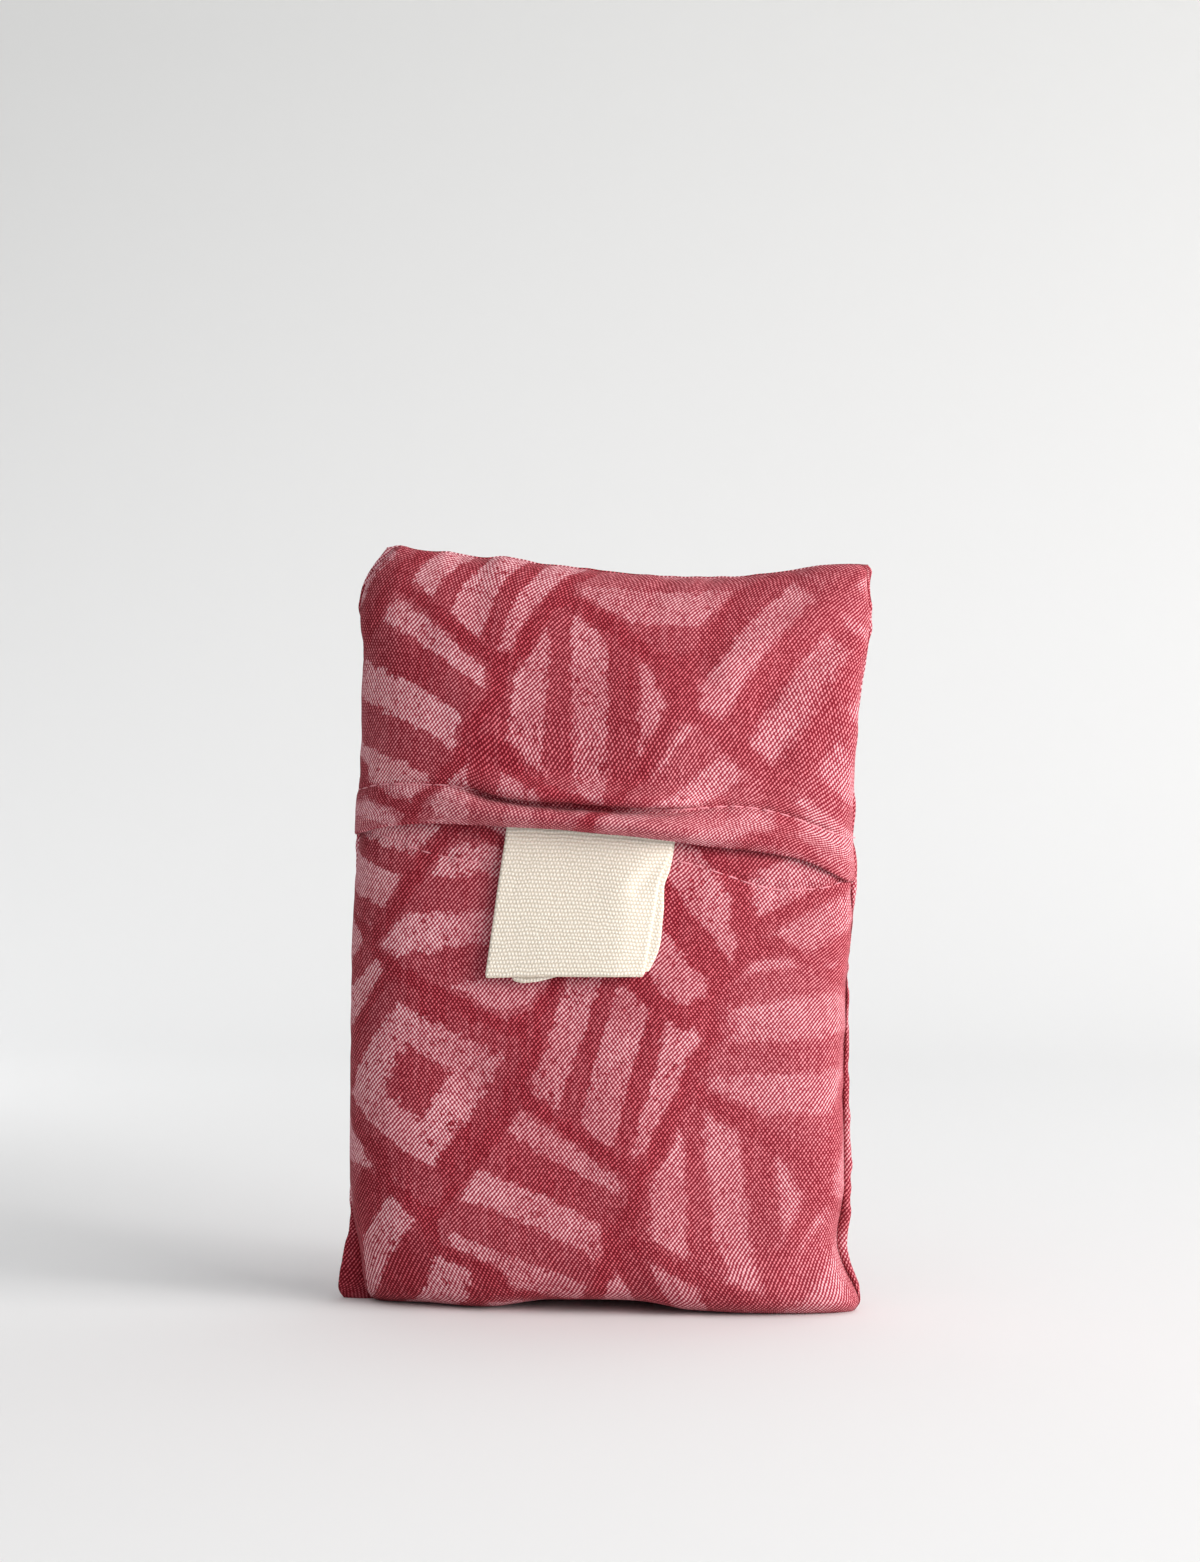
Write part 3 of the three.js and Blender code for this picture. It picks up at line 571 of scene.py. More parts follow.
# adds the lumps, the gathers along the seams and the sunken hem stitch
def detailed(points, swell, side):
    places = clothPlaces(points)
    u, v = places[..., 0], places[..., 1]
    x, z = points[..., 0], points[..., 2]
    seed = pouch["seeds"][side]
    ease = smoothStep(swell, *bodyEase)
    lumps = noiseSum(u, v, pouch["lumps"], seed) * pouch["undulation"] * ease
    height = gathered(lumps, places, pouch, seed)
    height *= smoothStep(z, *pouch["footFirm"])
    if side < 0:
        below = z - readAt(pouch["hemStitch"], "height", x)
        ripple = noiseSum(u, below, pouch["grooveWaves"], base=1)
        height -= pouch["groove"] * ripple * np.exp(-(below / pouch["grooveWidth"]) ** 2) * ease
        step = pouch["hemStep"] * smoothStep(below, *pouch["hemEdge"]) * smoothStep(z, *pouch["hemTop"])
        height += step * ease
        gathers = noiseSum(u, below, pouch["hemGathers"]) * pouch["hemGatherHeight"]
        height += gathers * np.exp(-np.abs(below) / stitchReach) * ease
    return points + gridNormals(points, side) * height[..., None], places


# the flap's outer and inner faces, from the lip up to the top edge
def flapFaces():
    heights, shares = rowsOf(flap, pouch["lipHeight"])
    across = acrossPlaces(pouch["columns"] + flap["moreColumns"])
    middle, half = spanAt(heights, -1)
    x = middle + across * half
    rise = heights - pouch["lipHeight"]
    stitchRise = readAt(flap["lip"], "stitchRise", x)
    fromStitch, hemShare = rise - stitchRise, rise / stitchRise
    lift = np.maximum(readAt(flap["lip"], "lift", x), 0) * (1 - smoothStep(rise, *flap["held"]))
    bulge = readAt(flap["lip"], "bulge", x)
    roll = readAt(flap["roll"], "swell", hemShare) * bulge * np.sqrt(1 - across ** 2)
    blend = smoothStep(rise, 0, pouch["ledgeRise"])
    thinner = (flap["thickness"] - flap["hemThickness"]) * smoothStep(hemShare, *flap["hemEnd"])
    outer = (flap["gap"] + flap["hemThickness"]) * (1 - blend) + pouch["ledge"] * blend + lift + roll
    points, swell = coverPoints(heights, shares, across, -1, outer)
    inner = coverPoints(heights, shares, across, -1, outer - (flap["hemThickness"] + thinner))[0]
    places, flatPlaces = clothPlaces(points), clothPlaces(points, 0.0)
    u, v = places[..., 0], places[..., 1]
    ease = smoothStep(swell, *bodyEase)
    lumps = noiseSum(u, v, flap["lumps"]) * flap["undulation"] * ease
    height = gathered(lumps, places, flap)
    above = math.prod(smoothStep(points[..., 0], *span) for span in flap["aboveLabel"])
    groove = flap["groove"] + flap["valley"] * above
    height -= groove * np.exp(-(fromStitch / flap["grooveWidth"]) ** 2) * ease
    puff, puffPlace, puffWidth = flap["puff"]
    height += puff * above * np.exp(-((fromStitch - puffPlace) / puffWidth) ** 2)
    gathers = noiseSum(u, fromStitch, flap["stitchGathers"]) * flap["stitchGatherHeight"]
    height += gathers * np.exp(-np.abs(fromStitch) / stitchReach)
    relief = gridNormals(points, -1) * height[..., None]
    faces = [points + relief, inner + relief]
    # the cloth runs down into the stitch line and out again
    extra = (clothPlaces(faces[0], 0.0) - flatPlaces)[..., 1]
    places[..., 1] += extra * smoothStep(fromStitch, *flap["pulled"])
    places[..., 0] += flap["shear"] * np.maximum(-fromStitch, 0)
    return faces, places, fromStitch


# how far the front stands out at a place, and that place's true height
def frontDepth(x, height):
    middle, half = spanAt(height, -1)
    depth, swell = faceDepth(height, (x - middle) / half, -1)
    z = trueHeight(height, x, 0)
    return pouch["seamHalf"] + (depth - pouch["seamHalf"] + foldsOn(-1, x, z, swell)) * swell, z


# the tape's two faces: up the front layer, over the hidden fold and down the back layer
def labelFaces():
    thickness, gap = label["thickness"], label["gap"]
    foldRadius = (thickness + gap) / 2
    foldMiddle = label["behind"] + thickness + gap / 2
    turnHeight = label["foldTop"] - foldRadius - thickness / 2
    rises = np.linspace(0, 1, label["layerRows"])
    turns = np.linspace(0, math.pi, label["foldRows"])[1:-1]
    rise = np.concatenate([rises, np.ones(len(turns)), rises[::-1]])[:, None]
    turn = np.concatenate([np.zeros(len(rises)), turns, np.full(len(rises), math.pi)])[:, None]
    place = np.linspace(0, 1, label["columns"])[None, :]
    isBack = turn > math.pi / 2
    bottom = np.where(isBack, readAt(label["ends"], "back", place), readAt(label["ends"], "front", place))
    faces = []
    for surface in (thickness / 2, -thickness / 2):
        radius = foldRadius + surface
        height = bottom + (turnHeight - bottom) * rise + radius * np.sin(turn)
        middle, stand = (readAt(label["hang"], name, height) for name in ("middle", "stand"))
        x = middle + (place - 0.5) * label["width"] + np.where(isBack, label["backShift"] * (1 - rise), 0)
        depth, z = frontDepth(x, height)
        front, back, curl = (readAt(label["rightEdge"], name, height) for name in ("front", "back", "curl"))
        wave = noiseSum(place * label["width"], height, label["waves"]) * (1 - rise)
        wave = wave + foldSize(label["crease"], x, height) * ~isBack
        wave = wave - curl * smoothStep(place, *label["curled"]) * ~isBack
        x = x - np.where(isBack, back, front) * smoothStep(place, *label["drawn"])
        y = -(depth + foldMiddle + radius * np.cos(turn) + stand + wave)
        faces.append(np.stack(np.broadcast_arrays(x, y, z), -1))
    return faces, clothPlaces(faces[0])


# moves what was built round the side seams' plane to its place in the whole
def seated(points):
    return points + np.array([0, pouch["seamPlane"], 0])


# Materials

reliefHeight = 0.0001         # metres from the bottom to the top of the threads' relief


# an sRGB hex colour as linear RGBA
def linearOf(hexColour):
    parts = [int(hexColour[i:i + 2], 16) / 255 for i in (1, 3, 5)]
    return (*[c / 12.92 if c <= 0.04045 else ((c + 0.055) / 1.055) ** 2.4 for c in parts], 1)


def addNode(tree, kind, inputs=None, **settings):
    node = tree.nodes.new(kind)
    for key, value in settings.items():
        setattr(node, key, value)
    for key, value in (inputs or {}).items():
        socket = node.inputs[key]
        if isinstance(value, bpy.types.Node):
            value = value.outputs[0]
        if isinstance(value, bpy.types.NodeSocket):
            tree.links.new(value, socket)
        else:
            socket.default_value = value
    return node


def newMaterial(name):
    material = bpy.data.materials.new(name)
    material.use_nodes = True
    tree = material.node_tree
    tree.nodes.clear()
    return material, tree


clothLook = {
    "crimsonShade": "#720c1c",
    "crimsonThread": "#df6471",
    "roseShade": "#a03648",
    "roseThread": "#fccbd1",
    # millimetres between the rows of thread crossings, one way and the other: the real ones lie 0.55 apart,
    # and these are drawn coarser, to show in a picture of the whole bag
    "rowSpacing": 0.64,
    "crossSpacing": 0.62,
    "rowTurn": 139.0,         # the ways the rows follow each other, in degrees
    "crossTurn": 33.0,
    "rowStrength": (1.1, 0.8),    # in some places one set of rows shows more, in others the other
    "crossStrength": (0.45, 0.8),
    "cellStrength": 0.5,      # each crossing is a little lighter or darker than the next
    "grainStrength": 1.8,
    "grainLevel": -1.15,
    "wanderSize": 0.8,        # how far the threads wander, in millimetres
    "growth": 0.5,            # the light crossings are larger where the print is lighter
    "litFrom": 0.15,
    "litTo": 1.35,
    # noises, their scales in cycles a millimetre
    "wander": {"Scale": 0.16, "Detail": 2.0, "Roughness": 0.55},
    "sway": {"Scale": 0.05, "Detail": 1.0, "Roughness": 0.55},
    "grain": {"Scale": 1.1, "Detail": 2.0, "Roughness": 0.7},
}

dyeLook = {
    "rough": {"Scale": 0.45, "Detail": 4.0, "Roughness": 0.7},
    "fine": {"Scale": 1.2, "Detail": 2.0, "Roughness": 0.6},
    "roughStrength": 3.6,     # how far the print's edges stray, in millimetres
    "roughLevel": -2.7,
    "fineStrength": 1.8,
    "softEdge": 0.3,          # half the width of the print's edges
    "softWhenWashed": 0.7,    # how much wider it is where the print is washed out
    "crackBend": 5.0,
    "crackScale": 0.21,
    "crackFine": 0.25,
    "crackWidth": {"From Min": 0.12, "From Max": 0.15},
    "speckScale": 0.5,
    "speckShare": 0.72,       # this share of the specks is left out
    "speckSize": {"From Min": 0.16, "From Max": 0.24},
    "lineStrength": -0.9,     # how much of the lighter tones the dark lines take away
    "streak": {"Scale": 1.0, "Detail": 2.0, "Roughness": 0.55},
    "streakRun": (0.75, 0.07, 1.0),
    "streakStrength": 0.5,
    "streakLevel": -0.25,
    "washTone": 0.45,         # the tone that washed-out print comes near to, and how near
    "washShare": 0.45,
}


# the place in the cloth, in millimetres
def placeInCloth(tree):
    place = addNode(tree, "ShaderNodeUVMap", uv_map="clothPlace")
    scale = (1 / mm, 1 / mm, 1 / mm)
    return addNode(tree, "ShaderNodeVectorMath", {0: place, 1: scale}, operation="MULTIPLY")


# the height of the threads, from two sets of rows that cross
def crepeWeave(tree, place):
    wander = addNode(tree, "ShaderNodeTexNoise", {"Vector": place, **clothLook["wander"]}).outputs["Color"]
    wander = addNode(tree, "ShaderNodeVectorMath", {0: wander, 1: (0.5, 0.5, 0.5)}, operation="SUBTRACT")
    size = clothLook["wanderSize"]
    thread = addNode(tree, "ShaderNodeVectorMath", {0: wander, 1: (size, size, 0), 2: place},
                     operation="MULTIPLY_ADD")
    waves, cells = [], []
    for spacing, way in (("rowSpacing", "rowTurn"), ("crossSpacing", "crossTurn")):
        number, angle = 1 / clothLook[spacing], math.radians(clothLook[way])
        turn = addNode(tree, "ShaderNodeVectorMath", {
            0: thread, 1: (number * math.cos(angle), number * math.sin(angle), 0)}, operation="DOT_PRODUCT")
        turn = turn.outputs["Value"]
        phase = addNode(tree, "ShaderNodeMath", {0: turn, 1: math.tau}, operation="MULTIPLY")
        waves.append(addNode(tree, "ShaderNodeMath", {0: phase}, operation="COSINE"))
        cells.append(addNode(tree, "ShaderNodeMath", {0: turn}, operation="ROUND"))
    sway = addNode(tree, "ShaderNodeTexNoise", {"Vector": place, **clothLook["sway"]}).outputs["Fac"]
    sway = addNode(tree, "ShaderNodeMapRange", {"Value": sway, "From Min": 0.35, "From Max": 0.65})
    weave = 0.0
    for wave, name in zip(waves, ("rowStrength", "crossStrength")):
        here, there = clothLook[name]
        strength = addNode(tree, "ShaderNodeMix", {0: sway, 2: here, 3: there}, data_type="FLOAT")
        weave = addNode(tree, "ShaderNodeMath", {0: strength, 1: wave, 2: weave}, operation="MULTIPLY_ADD")
    cell = addNode(tree, "ShaderNodeCombineXYZ", {"X": cells[0], "Y": cells[1]})
    cell = addNode(tree, "ShaderNodeTexWhiteNoise", {"Vector": cell}, noise_dimensions="2D")
    weave = addNode(tree, "ShaderNodeMath", {
        0: cell.outputs["Value"], 1: clothLook["cellStrength"], 2: weave}, operation="MULTIPLY_ADD")
    grain = addNode(tree, "ShaderNodeTexNoise", {"Vector": thread, **clothLook["grain"]}).outputs["Fac"]
    uneven = addNode(tree, "ShaderNodeMath", {
        0: grain, 1: clothLook["grainStrength"], 2: clothLook["grainLevel"]}, operation="MULTIPLY_ADD")
    return addNode(tree, "ShaderNodeMath", {0: weave, 1: uneven}, operation="ADD")


# where the print is unbroken by fine cracks and specks, through which the ground shows
def unbrokenDye(tree, place, rough, fine, whole):
    bend = dyeLook["crackBend"]
    bent = addNode(tree, "ShaderNodeVectorMath", {
        0: rough.outputs["Color"], 1: (bend, bend, bend), 2: place}, operation="MULTIPLY_ADD")
    cracks = addNode(tree, "ShaderNodeTexVoronoi", {"Vector": bent, "Scale": dyeLook["crackScale"]},
                     feature="DISTANCE_TO_EDGE", voronoi_dimensions="2D")
    cracks = addNode(tree, "ShaderNodeMath", {
        0: fine.outputs["Fac"], 1: dyeLook["crackFine"], 2: cracks.outputs["Distance"]},
        operation="MULTIPLY_ADD")
    cracks = addNode(tree, "ShaderNodeMapRange", {"Value": cracks, **dyeLook["crackWidth"]})
    specks = addNode(tree, "ShaderNodeTexVoronoi", {"Vector": bent, "Scale": dyeLook["speckScale"]},
                     voronoi_dimensions="2D")
    chosen = addNode(tree, "ShaderNodeSeparateXYZ", {0: specks.outputs["Color"]}).outputs["X"]
    chosen = addNode(tree, "ShaderNodeMath", {0: chosen, 1: dyeLook["speckShare"]}, operation="LESS_THAN")
    specks = addNode(tree, "ShaderNodeMapRange", {
        "Value": specks.outputs["Distance"], **dyeLook["speckSize"]})
    specks = addNode(tree, "ShaderNodeMath", {0: specks, 1: chosen}, operation="MAXIMUM")
    cracks = addNode(tree, "ShaderNodeMath", {0: cracks, 1: specks}, operation="MULTIPLY")
    return addNode(tree, "ShaderNodeMath", {0: cracks, 1: whole}, operation="MAXIMUM")


# the print's tone, from crimson at 0 to rose at 1
def dyeTone(tree, place):
    layers = []
    for name in ("ink", "wear"):
        layer = addNode(tree, "ShaderNodeAttribute", attribute_name=name)
        layers.extend(addNode(tree, "ShaderNodeSeparateXYZ", {0: layer.outputs["Vector"]}).outputs)
    stripe, line, ground, strength, wash, whole = layers
    rough = addNode(tree, "ShaderNodeTexNoise", {"Vector": place, **dyeLook["rough"]})
    fine = addNode(tree, "ShaderNodeTexNoise", {"Vector": place, **dyeLook["fine"]})
    # the edges follow the threads, and grow soft where the print is washed out
    ragged = addNode(tree, "ShaderNodeMath", {
        0: rough.outputs["Fac"], 1: dyeLook["roughStrength"], 2: dyeLook["roughLevel"]},
        operation="MULTIPLY_ADD")
    ragged = addNode(tree, "ShaderNodeMath", {
        0: fine.outputs["Fac"], 1: dyeLook["fineStrength"], 2: ragged}, operation="MULTIPLY_ADD")
    soft = addNode(tree, "ShaderNodeMath", {0: wash, 1: dyeLook["softWhenWashed"], 2: dyeLook["softEdge"]},
                   operation="MULTIPLY_ADD")
    hard = addNode(tree, "ShaderNodeMath", {0: soft, 1: -1.0}, operation="MULTIPLY")
    tones = []
    for distance in (stripe, line):
        edge = addNode(tree, "ShaderNodeMath", {0: distance, 1: ragged}, operation="ADD")
        tones.append(addNode(tree, "ShaderNodeMapRange", {
            "Value": edge, "From Min": hard, "From Max": soft}, interpolation_type="SMOOTHSTEP"))
    unbroken = unbrokenDye(tree, place, rough, fine, whole)
    tone = addNode(tree, "ShaderNodeMath", {0: tones[0], 1: unbroken}, operation="MULTIPLY")
    tone = addNode(tree, "ShaderNodeMath", {0: tone, 1: strength}, operation="MULTIPLY")
    tone = addNode(tree, "ShaderNodeMath", {0: tone, 1: ground}, operation="MAXIMUM")
    kept = addNode(tree, "ShaderNodeMath", {0: tones[1], 1: dyeLook["lineStrength"], 2: 1.0},
                   operation="MULTIPLY_ADD")
    tone = addNode(tree, "ShaderNodeMath", {0: tone, 1: kept}, operation="MULTIPLY")
    # faint upright streaks
    run = addNode(tree, "ShaderNodeVectorMath", {0: place, 1: dyeLook["streakRun"]}, operation="MULTIPLY")
    streaks = addNode(tree, "ShaderNodeTexNoise", {"Vector": run, **dyeLook["streak"]}).outputs["Fac"]
    streaks = addNode(tree, "ShaderNodeMath", {
        0: streaks, 1: dyeLook["streakStrength"], 2: dyeLook["streakLevel"]}, operation="MULTIPLY_ADD")
    tone = addNode(tree, "ShaderNodeMath", {0: tone, 1: streaks}, operation="ADD", use_clamp=True)
    washed = addNode(tree, "ShaderNodeMath", {0: wash, 1: dyeLook["washShare"]}, operation="MULTIPLY")
    washed = addNode(tree, "ShaderNodeMix", {0: washed, 2: tone, 3: dyeLook["washTone"]}, data_type="FLOAT")
    return washed.outputs[0]


# crepe of fine twisted threads, printed in two tones: matt, with a slight sheen at grazing angles
def printedCrepe():
    material, tree = newMaterial("printedCrepe")
    place = placeInCloth(tree)
    weave = crepeWeave(tree, place)
    tone = dyeTone(tree, place)
    grown = addNode(tree, "ShaderNodeMath", {0: tone, 1: clothLook["growth"], 2: weave},
                    operation="MULTIPLY_ADD")
    lit = addNode(tree, "ShaderNodeMapRange", {
        "Value": grown, "From Min": clothLook["litFrom"], "From Max": clothLook["litTo"]})
    dyed = []
    for dye in ("crimson", "rose"):
        shade, bright = linearOf(clothLook[dye + "Shade"]), linearOf(clothLook[dye + "Thread"])
        mixed = addNode(tree, "ShaderNodeMix", {0: lit, 6: shade, 7: bright}, data_type="RGBA")
        dyed.append(mixed.outputs[2])
    colour = addNode(tree, "ShaderNodeMix", {0: tone, 6: dyed[0], 7: dyed[1]}, data_type="RGBA").outputs[2]
    bump = addNode(tree, "ShaderNodeBump", {"Height": weave, "Strength": 0.3, "Distance": reliefHeight})
    shader = addNode(tree, "ShaderNodeBsdfPrincipled", {
        "Base Color": colour, "Roughness": 0.85, "IOR": 1.5, "Specular IOR Level": 0.12,
        "Sheen Weight": 0.04, "Sheen Roughness": 0.5, "Normal": bump})
    addNode(tree, "ShaderNodeOutputMaterial", {"Surface": shader})
    return material


tapeLook = {
    "shade": "#cfc2ad",
    "thread": "#f6eee2",
    "rowSpacing": 0.76,       # millimetres between the ribs, and between the raised dots along a rib
    "dotSpacing": 0.68,
    "dotStrength": 1.0,
    "wander": {"Scale": 0.35, "Detail": 2.0, "Roughness": 0.55},
    "wanderSize": 0.7,
    "grain": {"Scale": 0.9, "Detail": 3.0, "Roughness": 0.7},
    "grainStrength": 1.6,
    "litFrom": -1.0,
    "litTo": 1.7,
}


# undyed cotton tape in a plain rib weave: cream, dry and matt
def cottonTape():
    material, tree = newMaterial("cottonTape")
    place = placeInCloth(tree)
    wander = addNode(tree, "ShaderNodeTexNoise", {"Vector": place, **tapeLook["wander"]}).outputs["Color"]
    size = tapeLook["wanderSize"]
    thread = addNode(tree, "ShaderNodeVectorMath", {0: wander, 1: (size, size, 0), 2: place},
                     operation="MULTIPLY_ADD")
    parts = addNode(tree, "ShaderNodeSeparateXYZ", {0: thread})
    rows = addNode(tree, "ShaderNodeMath", {0: parts.outputs["Y"], 1: math.tau / tapeLook["rowSpacing"]},
                   operation="MULTIPLY")
    dots = addNode(tree, "ShaderNodeMath", {0: parts.outputs["X"], 1: math.tau / tapeLook["dotSpacing"]},
                   operation="MULTIPLY")
    # every other row of raised dots is moved along by half a dot
    half = addNode(tree, "ShaderNodeMath", {0: rows, 1: 0.5}, operation="MULTIPLY")
    waves = [addNode(tree, "ShaderNodeMath", {0: turn}, operation="COSINE") for turn in (rows, half, dots)]
    weave = addNode(tree, "ShaderNodeMath", {0: waves[1], 1: waves[2]}, operation="MULTIPLY")
    weave = addNode(tree, "ShaderNodeMath", {0: weave, 1: tapeLook["dotStrength"], 2: waves[0]},
                    operation="MULTIPLY_ADD")
    grain = addNode(tree, "ShaderNodeTexNoise", {"Vector": thread, **tapeLook["grain"]}).outputs["Fac"]
    weave = addNode(tree, "ShaderNodeMath", {0: grain, 1: tapeLook["grainStrength"], 2: weave},
                    operation="MULTIPLY_ADD")
    lit = addNode(tree, "ShaderNodeMapRange", {
        "Value": weave, "From Min": tapeLook["litFrom"], "From Max": tapeLook["litTo"]})
    shade, bright = linearOf(tapeLook["shade"]), linearOf(tapeLook["thread"])
    colour = addNode(tree, "ShaderNodeMix", {0: lit, 6: shade, 7: bright}, data_type="RGBA").outputs[2]
    bump = addNode(tree, "ShaderNodeBump", {"Height": weave, "Strength": 0.5, "Distance": reliefHeight})
    shader = addNode(tree, "ShaderNodeBsdfPrincipled", {
        "Base Color": colour, "Roughness": 0.88, "IOR": 1.5, "Specular IOR Level": 0.25,
        "Sheen Weight": 0.1, "Normal": bump})
    addNode(tree, "ShaderNodeOutputMaterial", {"Surface": shader})
    return material


# seamless studio paper: near white and matt, with painted shade that greys it towards the top
def studioPaper():
    material, tree = newMaterial("studioPaper")
    place = addNode(tree, "ShaderNodeTexCoord")
    height = addNode(tree, "ShaderNodeSeparateXYZ", {0: place.outputs["Object"]}).outputs["Z"]
    height = addNode(tree, "ShaderNodeMapRange", {"Value": height, "From Max": studio["paintedShadeHeight"]})
    # painted shade: the paper's colour greys with height, as less light reaches its top
    low, high = linearOf(studio["paper"]), linearOf(studio["paperTopPaintedShade"])
    colour = addNode(tree, "ShaderNodeMix", {0: height, 6: low, 7: high}, data_type="RGBA").outputs[2]
    shader = addNode(tree, "ShaderNodeBsdfPrincipled", {
        "Base Color": colour, "Roughness": 0.9, "Specular IOR Level": 0.1})
    addNode(tree, "ShaderNodeOutputMaterial", {"Surface": shader})
    return material


# spun polyester sewing thread, dyed rose: a little smoother and brighter than the cloth
def sewingThread():
    material, tree = newMaterial("sewingThread")
    shader = addNode(tree, "ShaderNodeBsdfPrincipled", {
        "Base Color": linearOf(stitches["colour"]), "Roughness": 0.6, "IOR": 1.5, "Specular IOR Level": 0.4,
        "Sheen Weight": 0.2})
    addNode(tree, "ShaderNodeOutputMaterial", {"Surface": shader})
    return material


# Stitches, set along lines on the cloth by Geometry Nodes

stitches = {
    "colour": "#e08e9a",
    "pitch": 3.2,             # millimetres from stitch to stitch
    "length": 2.9,
    "thickness": 0.36,
    "hiddenFrom": -22.0,      # the stretch of the flap's row that the cloth hides
    "hiddenTo": 9.0,
    "beadSides": 6,
    "smallest": (0.86, 0.8, 0.8),    # the least and the most that a stitch is scaled by
    "largest": (1.04, 1.15, 1.15),
    "endsLeft": 3,            # points of the row that are left without stitches at each end
}


# a node group that lays a small thread along a line at an even pitch
def stitchTree():
    tree = bpy.data.node_groups.new("stitchTree", "GeometryNodeTree")
    sockets = (("Line", "Geometry"), ("Pitch", "Float"), ("Length", "Float"), ("Thickness", "Float"),
               ("Seed", "Int"), ("Thread", "Material"))
    for name, kind in sockets:
        tree.interface.new_socket(name, in_out="INPUT", socket_type="NodeSocket" + kind)
    tree.interface.new_socket("Stitches", in_out="OUTPUT", socket_type="NodeSocketGeometry")
    given = addNode(tree, "NodeGroupInput")
    curve = addNode(tree, "GeometryNodeMeshToCurve", {"Mesh": given.outputs["Line"]})
    points = addNode(tree, "GeometryNodeResampleCurve", {"Curve": curve, "Length": given.outputs["Pitch"]},
                     mode="LENGTH")
    sides = stitches["beadSides"]
    bead = addNode(tree, "GeometryNodeMeshUVSphere", {"Segments": sides, "Rings": sides, "Radius": 0.5})
    size = addNode(tree, "ShaderNodeCombineXYZ", {
        "X": given.outputs["Length"], "Y": given.outputs["Thickness"], "Z": given.outputs["Thickness"]})
    turn = addNode(tree, "FunctionNodeInputVector", vector=(0, math.pi / 2, 0))
    bead = addNode(tree, "GeometryNodeTransform", {"Geometry": bead, "Rotation": turn})
    bead = addNode(tree, "GeometryNodeTransform", {"Geometry": bead, "Scale": size})
    outward = addNode(tree, "GeometryNodeInputNamedAttribute", {"Name": "outward"},
                      data_type="FLOAT_VECTOR")
    tangent = addNode(tree, "GeometryNodeInputTangent")
    along = addNode(tree, "FunctionNodeAlignRotationToVector", {"Vector": tangent}, axis="X")
    facing = addNode(tree, "FunctionNodeAlignRotationToVector", {"Rotation": along, "Vector": outward},
                     axis="Z", pivot_axis="X")
    spread = addNode(tree, "FunctionNodeRandomValue", {
        0: stitches["smallest"], 1: stitches["largest"], "Seed": given.outputs["Seed"]},
        data_type="FLOAT_VECTOR")
    laid = addNode(tree, "GeometryNodeInstanceOnPoints", {
        "Points": points, "Instance": bead, "Rotation": facing, "Scale": spread})
    real = addNode(tree, "GeometryNodeRealizeInstances", {"Geometry": laid})
    done = addNode(tree, "GeometryNodeSetMaterial", {"Geometry": real, "Material": given.outputs["Thread"]})
    addNode(tree, "NodeGroupOutput", {"Stitches": done})
    return tree


# a row of stitches along a line of points, in millimetres
def sewLine(name, points, normals, tree, material, seed):
    mesh = bpy.data.meshes.new(name)
    # points further apart than a stitch aren't joined
    near = np.linalg.norm(np.diff(points, axis=0), axis=1) < stitches["pitch"]
    mesh.from_pydata((points * mm).tolist(), [(i, i + 1) for i in np.flatnonzero(near).tolist()], [])
    outward = mesh.attributes.new("outward", "FLOAT_VECTOR", "POINT")
    outward.data.foreach_set("vector", normals.astype(np.float32).ravel())
    row = bpy.data.objects.new(name, mesh)
    bpy.context.scene.collection.objects.link(row)
    modifier = row.modifiers.new("stitches", "NODES")
    modifier.node_group = tree
    values = {"Pitch": stitches["pitch"] * mm, "Length": stitches["length"] * mm,
              "Thickness": stitches["thickness"] * mm, "Seed": seed, "Thread": material}
    for socket in tree.interface.items_tree:
        if socket.in_out == "INPUT" and socket.name in values:
            modifier[socket.identifier] = values[socket.name]
    evaluated = row.evaluated_get(bpy.context.evaluated_depsgraph_get())
    plain = bpy.data.meshes.new_from_object(evaluated)
    row.modifiers.clear()
    row.data = plain
    plain.polygons.foreach_set("use_smooth", np.ones(len(plain.polygons), bool))
    return row


# points and normals where each column of a grid rises past the line, from the left
def lineOnGrid(points, above):
    normals = gridNormals(points, -1)
    found, facing = [], []
    for column in range(points.shape[1]):
        here = above[:, column]
        rows = np.flatnonzero((here[:-1] < 0) & (here[1:] >= 0))
        if not len(rows):
            continue
        row = rows[0]
        t = here[row] / (here[row] - here[row + 1])
        for grid, line in ((points, found), (normals, facing)):
            line.append(grid[row, column] * (1 - t) + grid[row + 1, column] * t)
    return np.array(found), np.array(facing)


# Camera, from where the photograph was taken, and the studio: lengths in metres

camera = {
    "turn": 8.0,              # degrees round from the front, towards the pouch's right
    "distance": 0.73,
    "height": 0.129,
    "tilt": 1.94,             # degrees downwards
    "lens": 85.0,
}

studio = {
    "worldColour": "#f4f5f4",
    "worldStrength": 0.41,
    "paper": "#ebeced",
    "paperTopPaintedShade": "#d2d3d3",
    "paintedShadeHeight": 0.42,       # where the paper's painted shade has reached its darkest grey
    "floorFront": -1.2,
    "floorEnd": 0.45,         # where the floor starts to curve up, and the curve's radius
    "sweepRadius": 0.5,
    "sweepSteps": 24,
    "wallTop": 2.2,
    "halfWidth": 2.2,
}

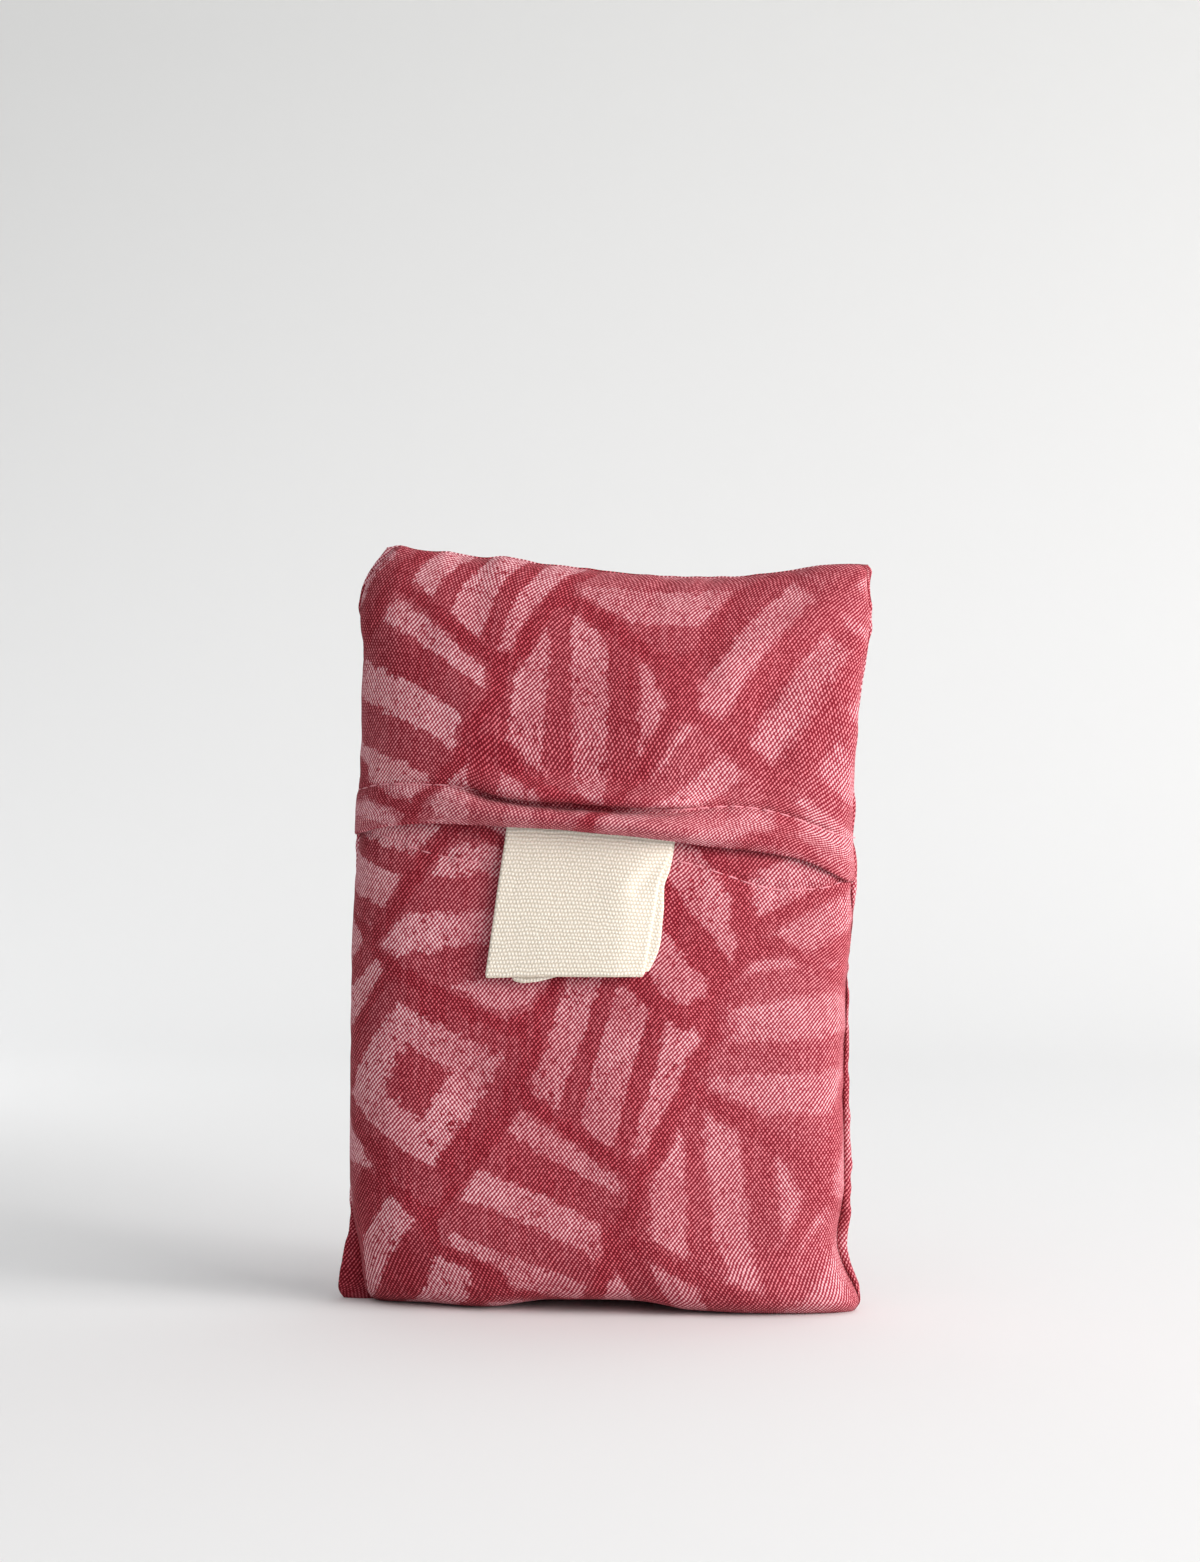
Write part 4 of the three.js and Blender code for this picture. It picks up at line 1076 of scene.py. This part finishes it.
# each light: where it stands, what it faces, its width, height, power and colour
lights = {
    "key": ((1.53, -0.36, 0.5), (0, 0, 0.07), 0.8, 0.8, 21.5, "#fffbf8"),
    "front": ((1.3, -0.85, 0.6), (0, 0, 0.07), 0.8, 0.8, 15.0, "#fffbf8"),
    "top": ((0.1, -0.2, 1.4), (0, 0, 0.0), 1.2, 1.2, 3.4, "#fbfcff"),
    "back": ((-0.45, 0.3, 0.15), (-0.1, 0.9, 0.12), 0.3, 0.1, 0.35, "#ffffff"),
    "rear": ((0.1, 0.42, 0.9), (0.1, 0.4, 0), 1.0, 0.4, 0.7, "#ffffff"),
}


def makeCamera():
    data = bpy.data.cameras.new("camera")
    data.lens = camera["lens"]
    holder = bpy.data.objects.new("camera", data)
    turn, tilt = math.radians(camera["turn"]), math.radians(camera["tilt"])
    away = camera["distance"]
    holder.location = (away * math.sin(turn), -away * math.cos(turn), camera["height"])
    holder.rotation_euler = (math.pi / 2 - tilt, 0, turn)
    bpy.context.scene.collection.objects.link(holder)
    bpy.context.scene.camera = holder


def makeLight(name, place, target, width, height, power, colour):
    data = bpy.data.lights.new(name, "AREA")
    data.shape = "RECTANGLE"
    data.size, data.size_y = width, height
    data.energy = power
    data.color = linearOf(colour)[:3]
    holder = bpy.data.objects.new(name, data)
    holder.location = place
    holder.rotation_euler = (Vector(place) - Vector(target)).to_track_quat("Z", "Y").to_euler()
    bpy.context.scene.collection.objects.link(holder)


# a sweep: flat floor, a wide curve and an upright back
def makeStage(paper):
    end, radius, wide = studio["floorEnd"], studio["sweepRadius"], studio["halfWidth"]
    turns = np.linspace(0, math.pi / 2, studio["sweepSteps"])
    profile = [(studio["floorFront"], 0)]
    profile += [(end + radius * math.sin(a), radius - radius * math.cos(a)) for a in turns]
    profile += [(end + radius, studio["wallTop"])]
    points = [(x, y, z) for y, z in profile for x in (-wide, wide)]
    faces = [(2 * i, 2 * i + 1, 2 * i + 3, 2 * i + 2) for i in range(len(profile) - 1)]
    mesh = bpy.data.meshes.new("sweep")
    mesh.from_pydata(points, [], faces)
    mesh.polygons.foreach_set("use_smooth", np.ones(len(mesh.polygons), bool))
    mesh.materials.append(paper)
    sweep = bpy.data.objects.new("sweep", mesh)
    bpy.context.scene.collection.objects.link(sweep)


makeCamera()
makeStage(studioPaper())
for name, values in lights.items():
    makeLight(name, *values)
world = bpy.data.worlds.new("world")
world.use_nodes = True
world.node_tree.nodes["Background"].inputs["Color"].default_value = linearOf(studio["worldColour"])
world.node_tree.nodes["Background"].inputs["Strength"].default_value = studio["worldStrength"]
bpy.context.scene.world = world
bpy.context.scene.view_settings.view_transform = "Standard"
print("stage, camera and lights are made")

crepe = printedCrepe()
front, frontPlaces = pouchFace(-1)
back, backPlaces = pouchFace(1)
onFront, onBack = pouch["printShifts"]
layers = {"ink": (cornerPrintAndPaintedShade(inkAt(frontPlaces, *onFront), front), inkAt(backPlaces, *onBack)),
          "wear": (wearAt(frontPlaces, *onFront), wearAt(backPlaces, *onBack))}
pouchCloth = closedMesh("pouchCloth", seated(front), seated(back), (frontPlaces, backPlaces), layers)
pouchCloth.data.materials.append(crepe)
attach(pouchCloth, "root")
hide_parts("pouch")
print("the pouch is made")

(flapOuter, flapInner), flapPlaces, fromStitch = flapFaces()
ink, wear = inkAt(flapPlaces, *flap["printShift"]), wearAt(flapPlaces, *flap["printShift"])
ink[..., 2] += flap["hemPaler"] * (fromStitch < 0)
flapCloth = closedMesh("flapCloth", seated(flapOuter), seated(flapInner), (flapPlaces, flapPlaces),
                       {"ink": (ink, ink), "wear": (wear, wear)}, flap["rimRows"])
flapCloth.data.materials.append(crepe)
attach(flapCloth, "root")
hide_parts("flap")
print("the flap is made")

(labelOuter, labelInner), labelPlaces = labelFaces()
labelTape = closedMesh("labelTape", seated(labelOuter), seated(labelInner), (labelPlaces, labelPlaces),
                       {}, label["rimRows"])
labelTape.data.materials.append(cottonTape())
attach(labelTape, "root")
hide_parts("label")
print("the label is made")

thread = sewingThread()
tree = stitchTree()
onFlap = lineOnGrid(seated(flapOuter), fromStitch)
aboveHem = front[..., 2] - readAt(pouch["hemStitch"], "height", front[..., 0])
onPouch = lineOnGrid(seated(front), aboveHem)
# in the valley above the label the cloth closes over the stitches
seen = (onFlap[0][:, 0] < stitches["hiddenFrom"]) | (onFlap[0][:, 0] > stitches["hiddenTo"])
onFlap = onFlap[0][seen], onFlap[1][seen]
sewn = slice(stitches["endsLeft"], -stitches["endsLeft"])
for name, (points, normals), seed in (("flapStitches", onFlap, 1), ("hemStitches", onPouch, 2)):
    row = sewLine(name, points[sewn], normals[sewn], tree, thread, seed)
    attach(row, "root")
print("the stitches are made")
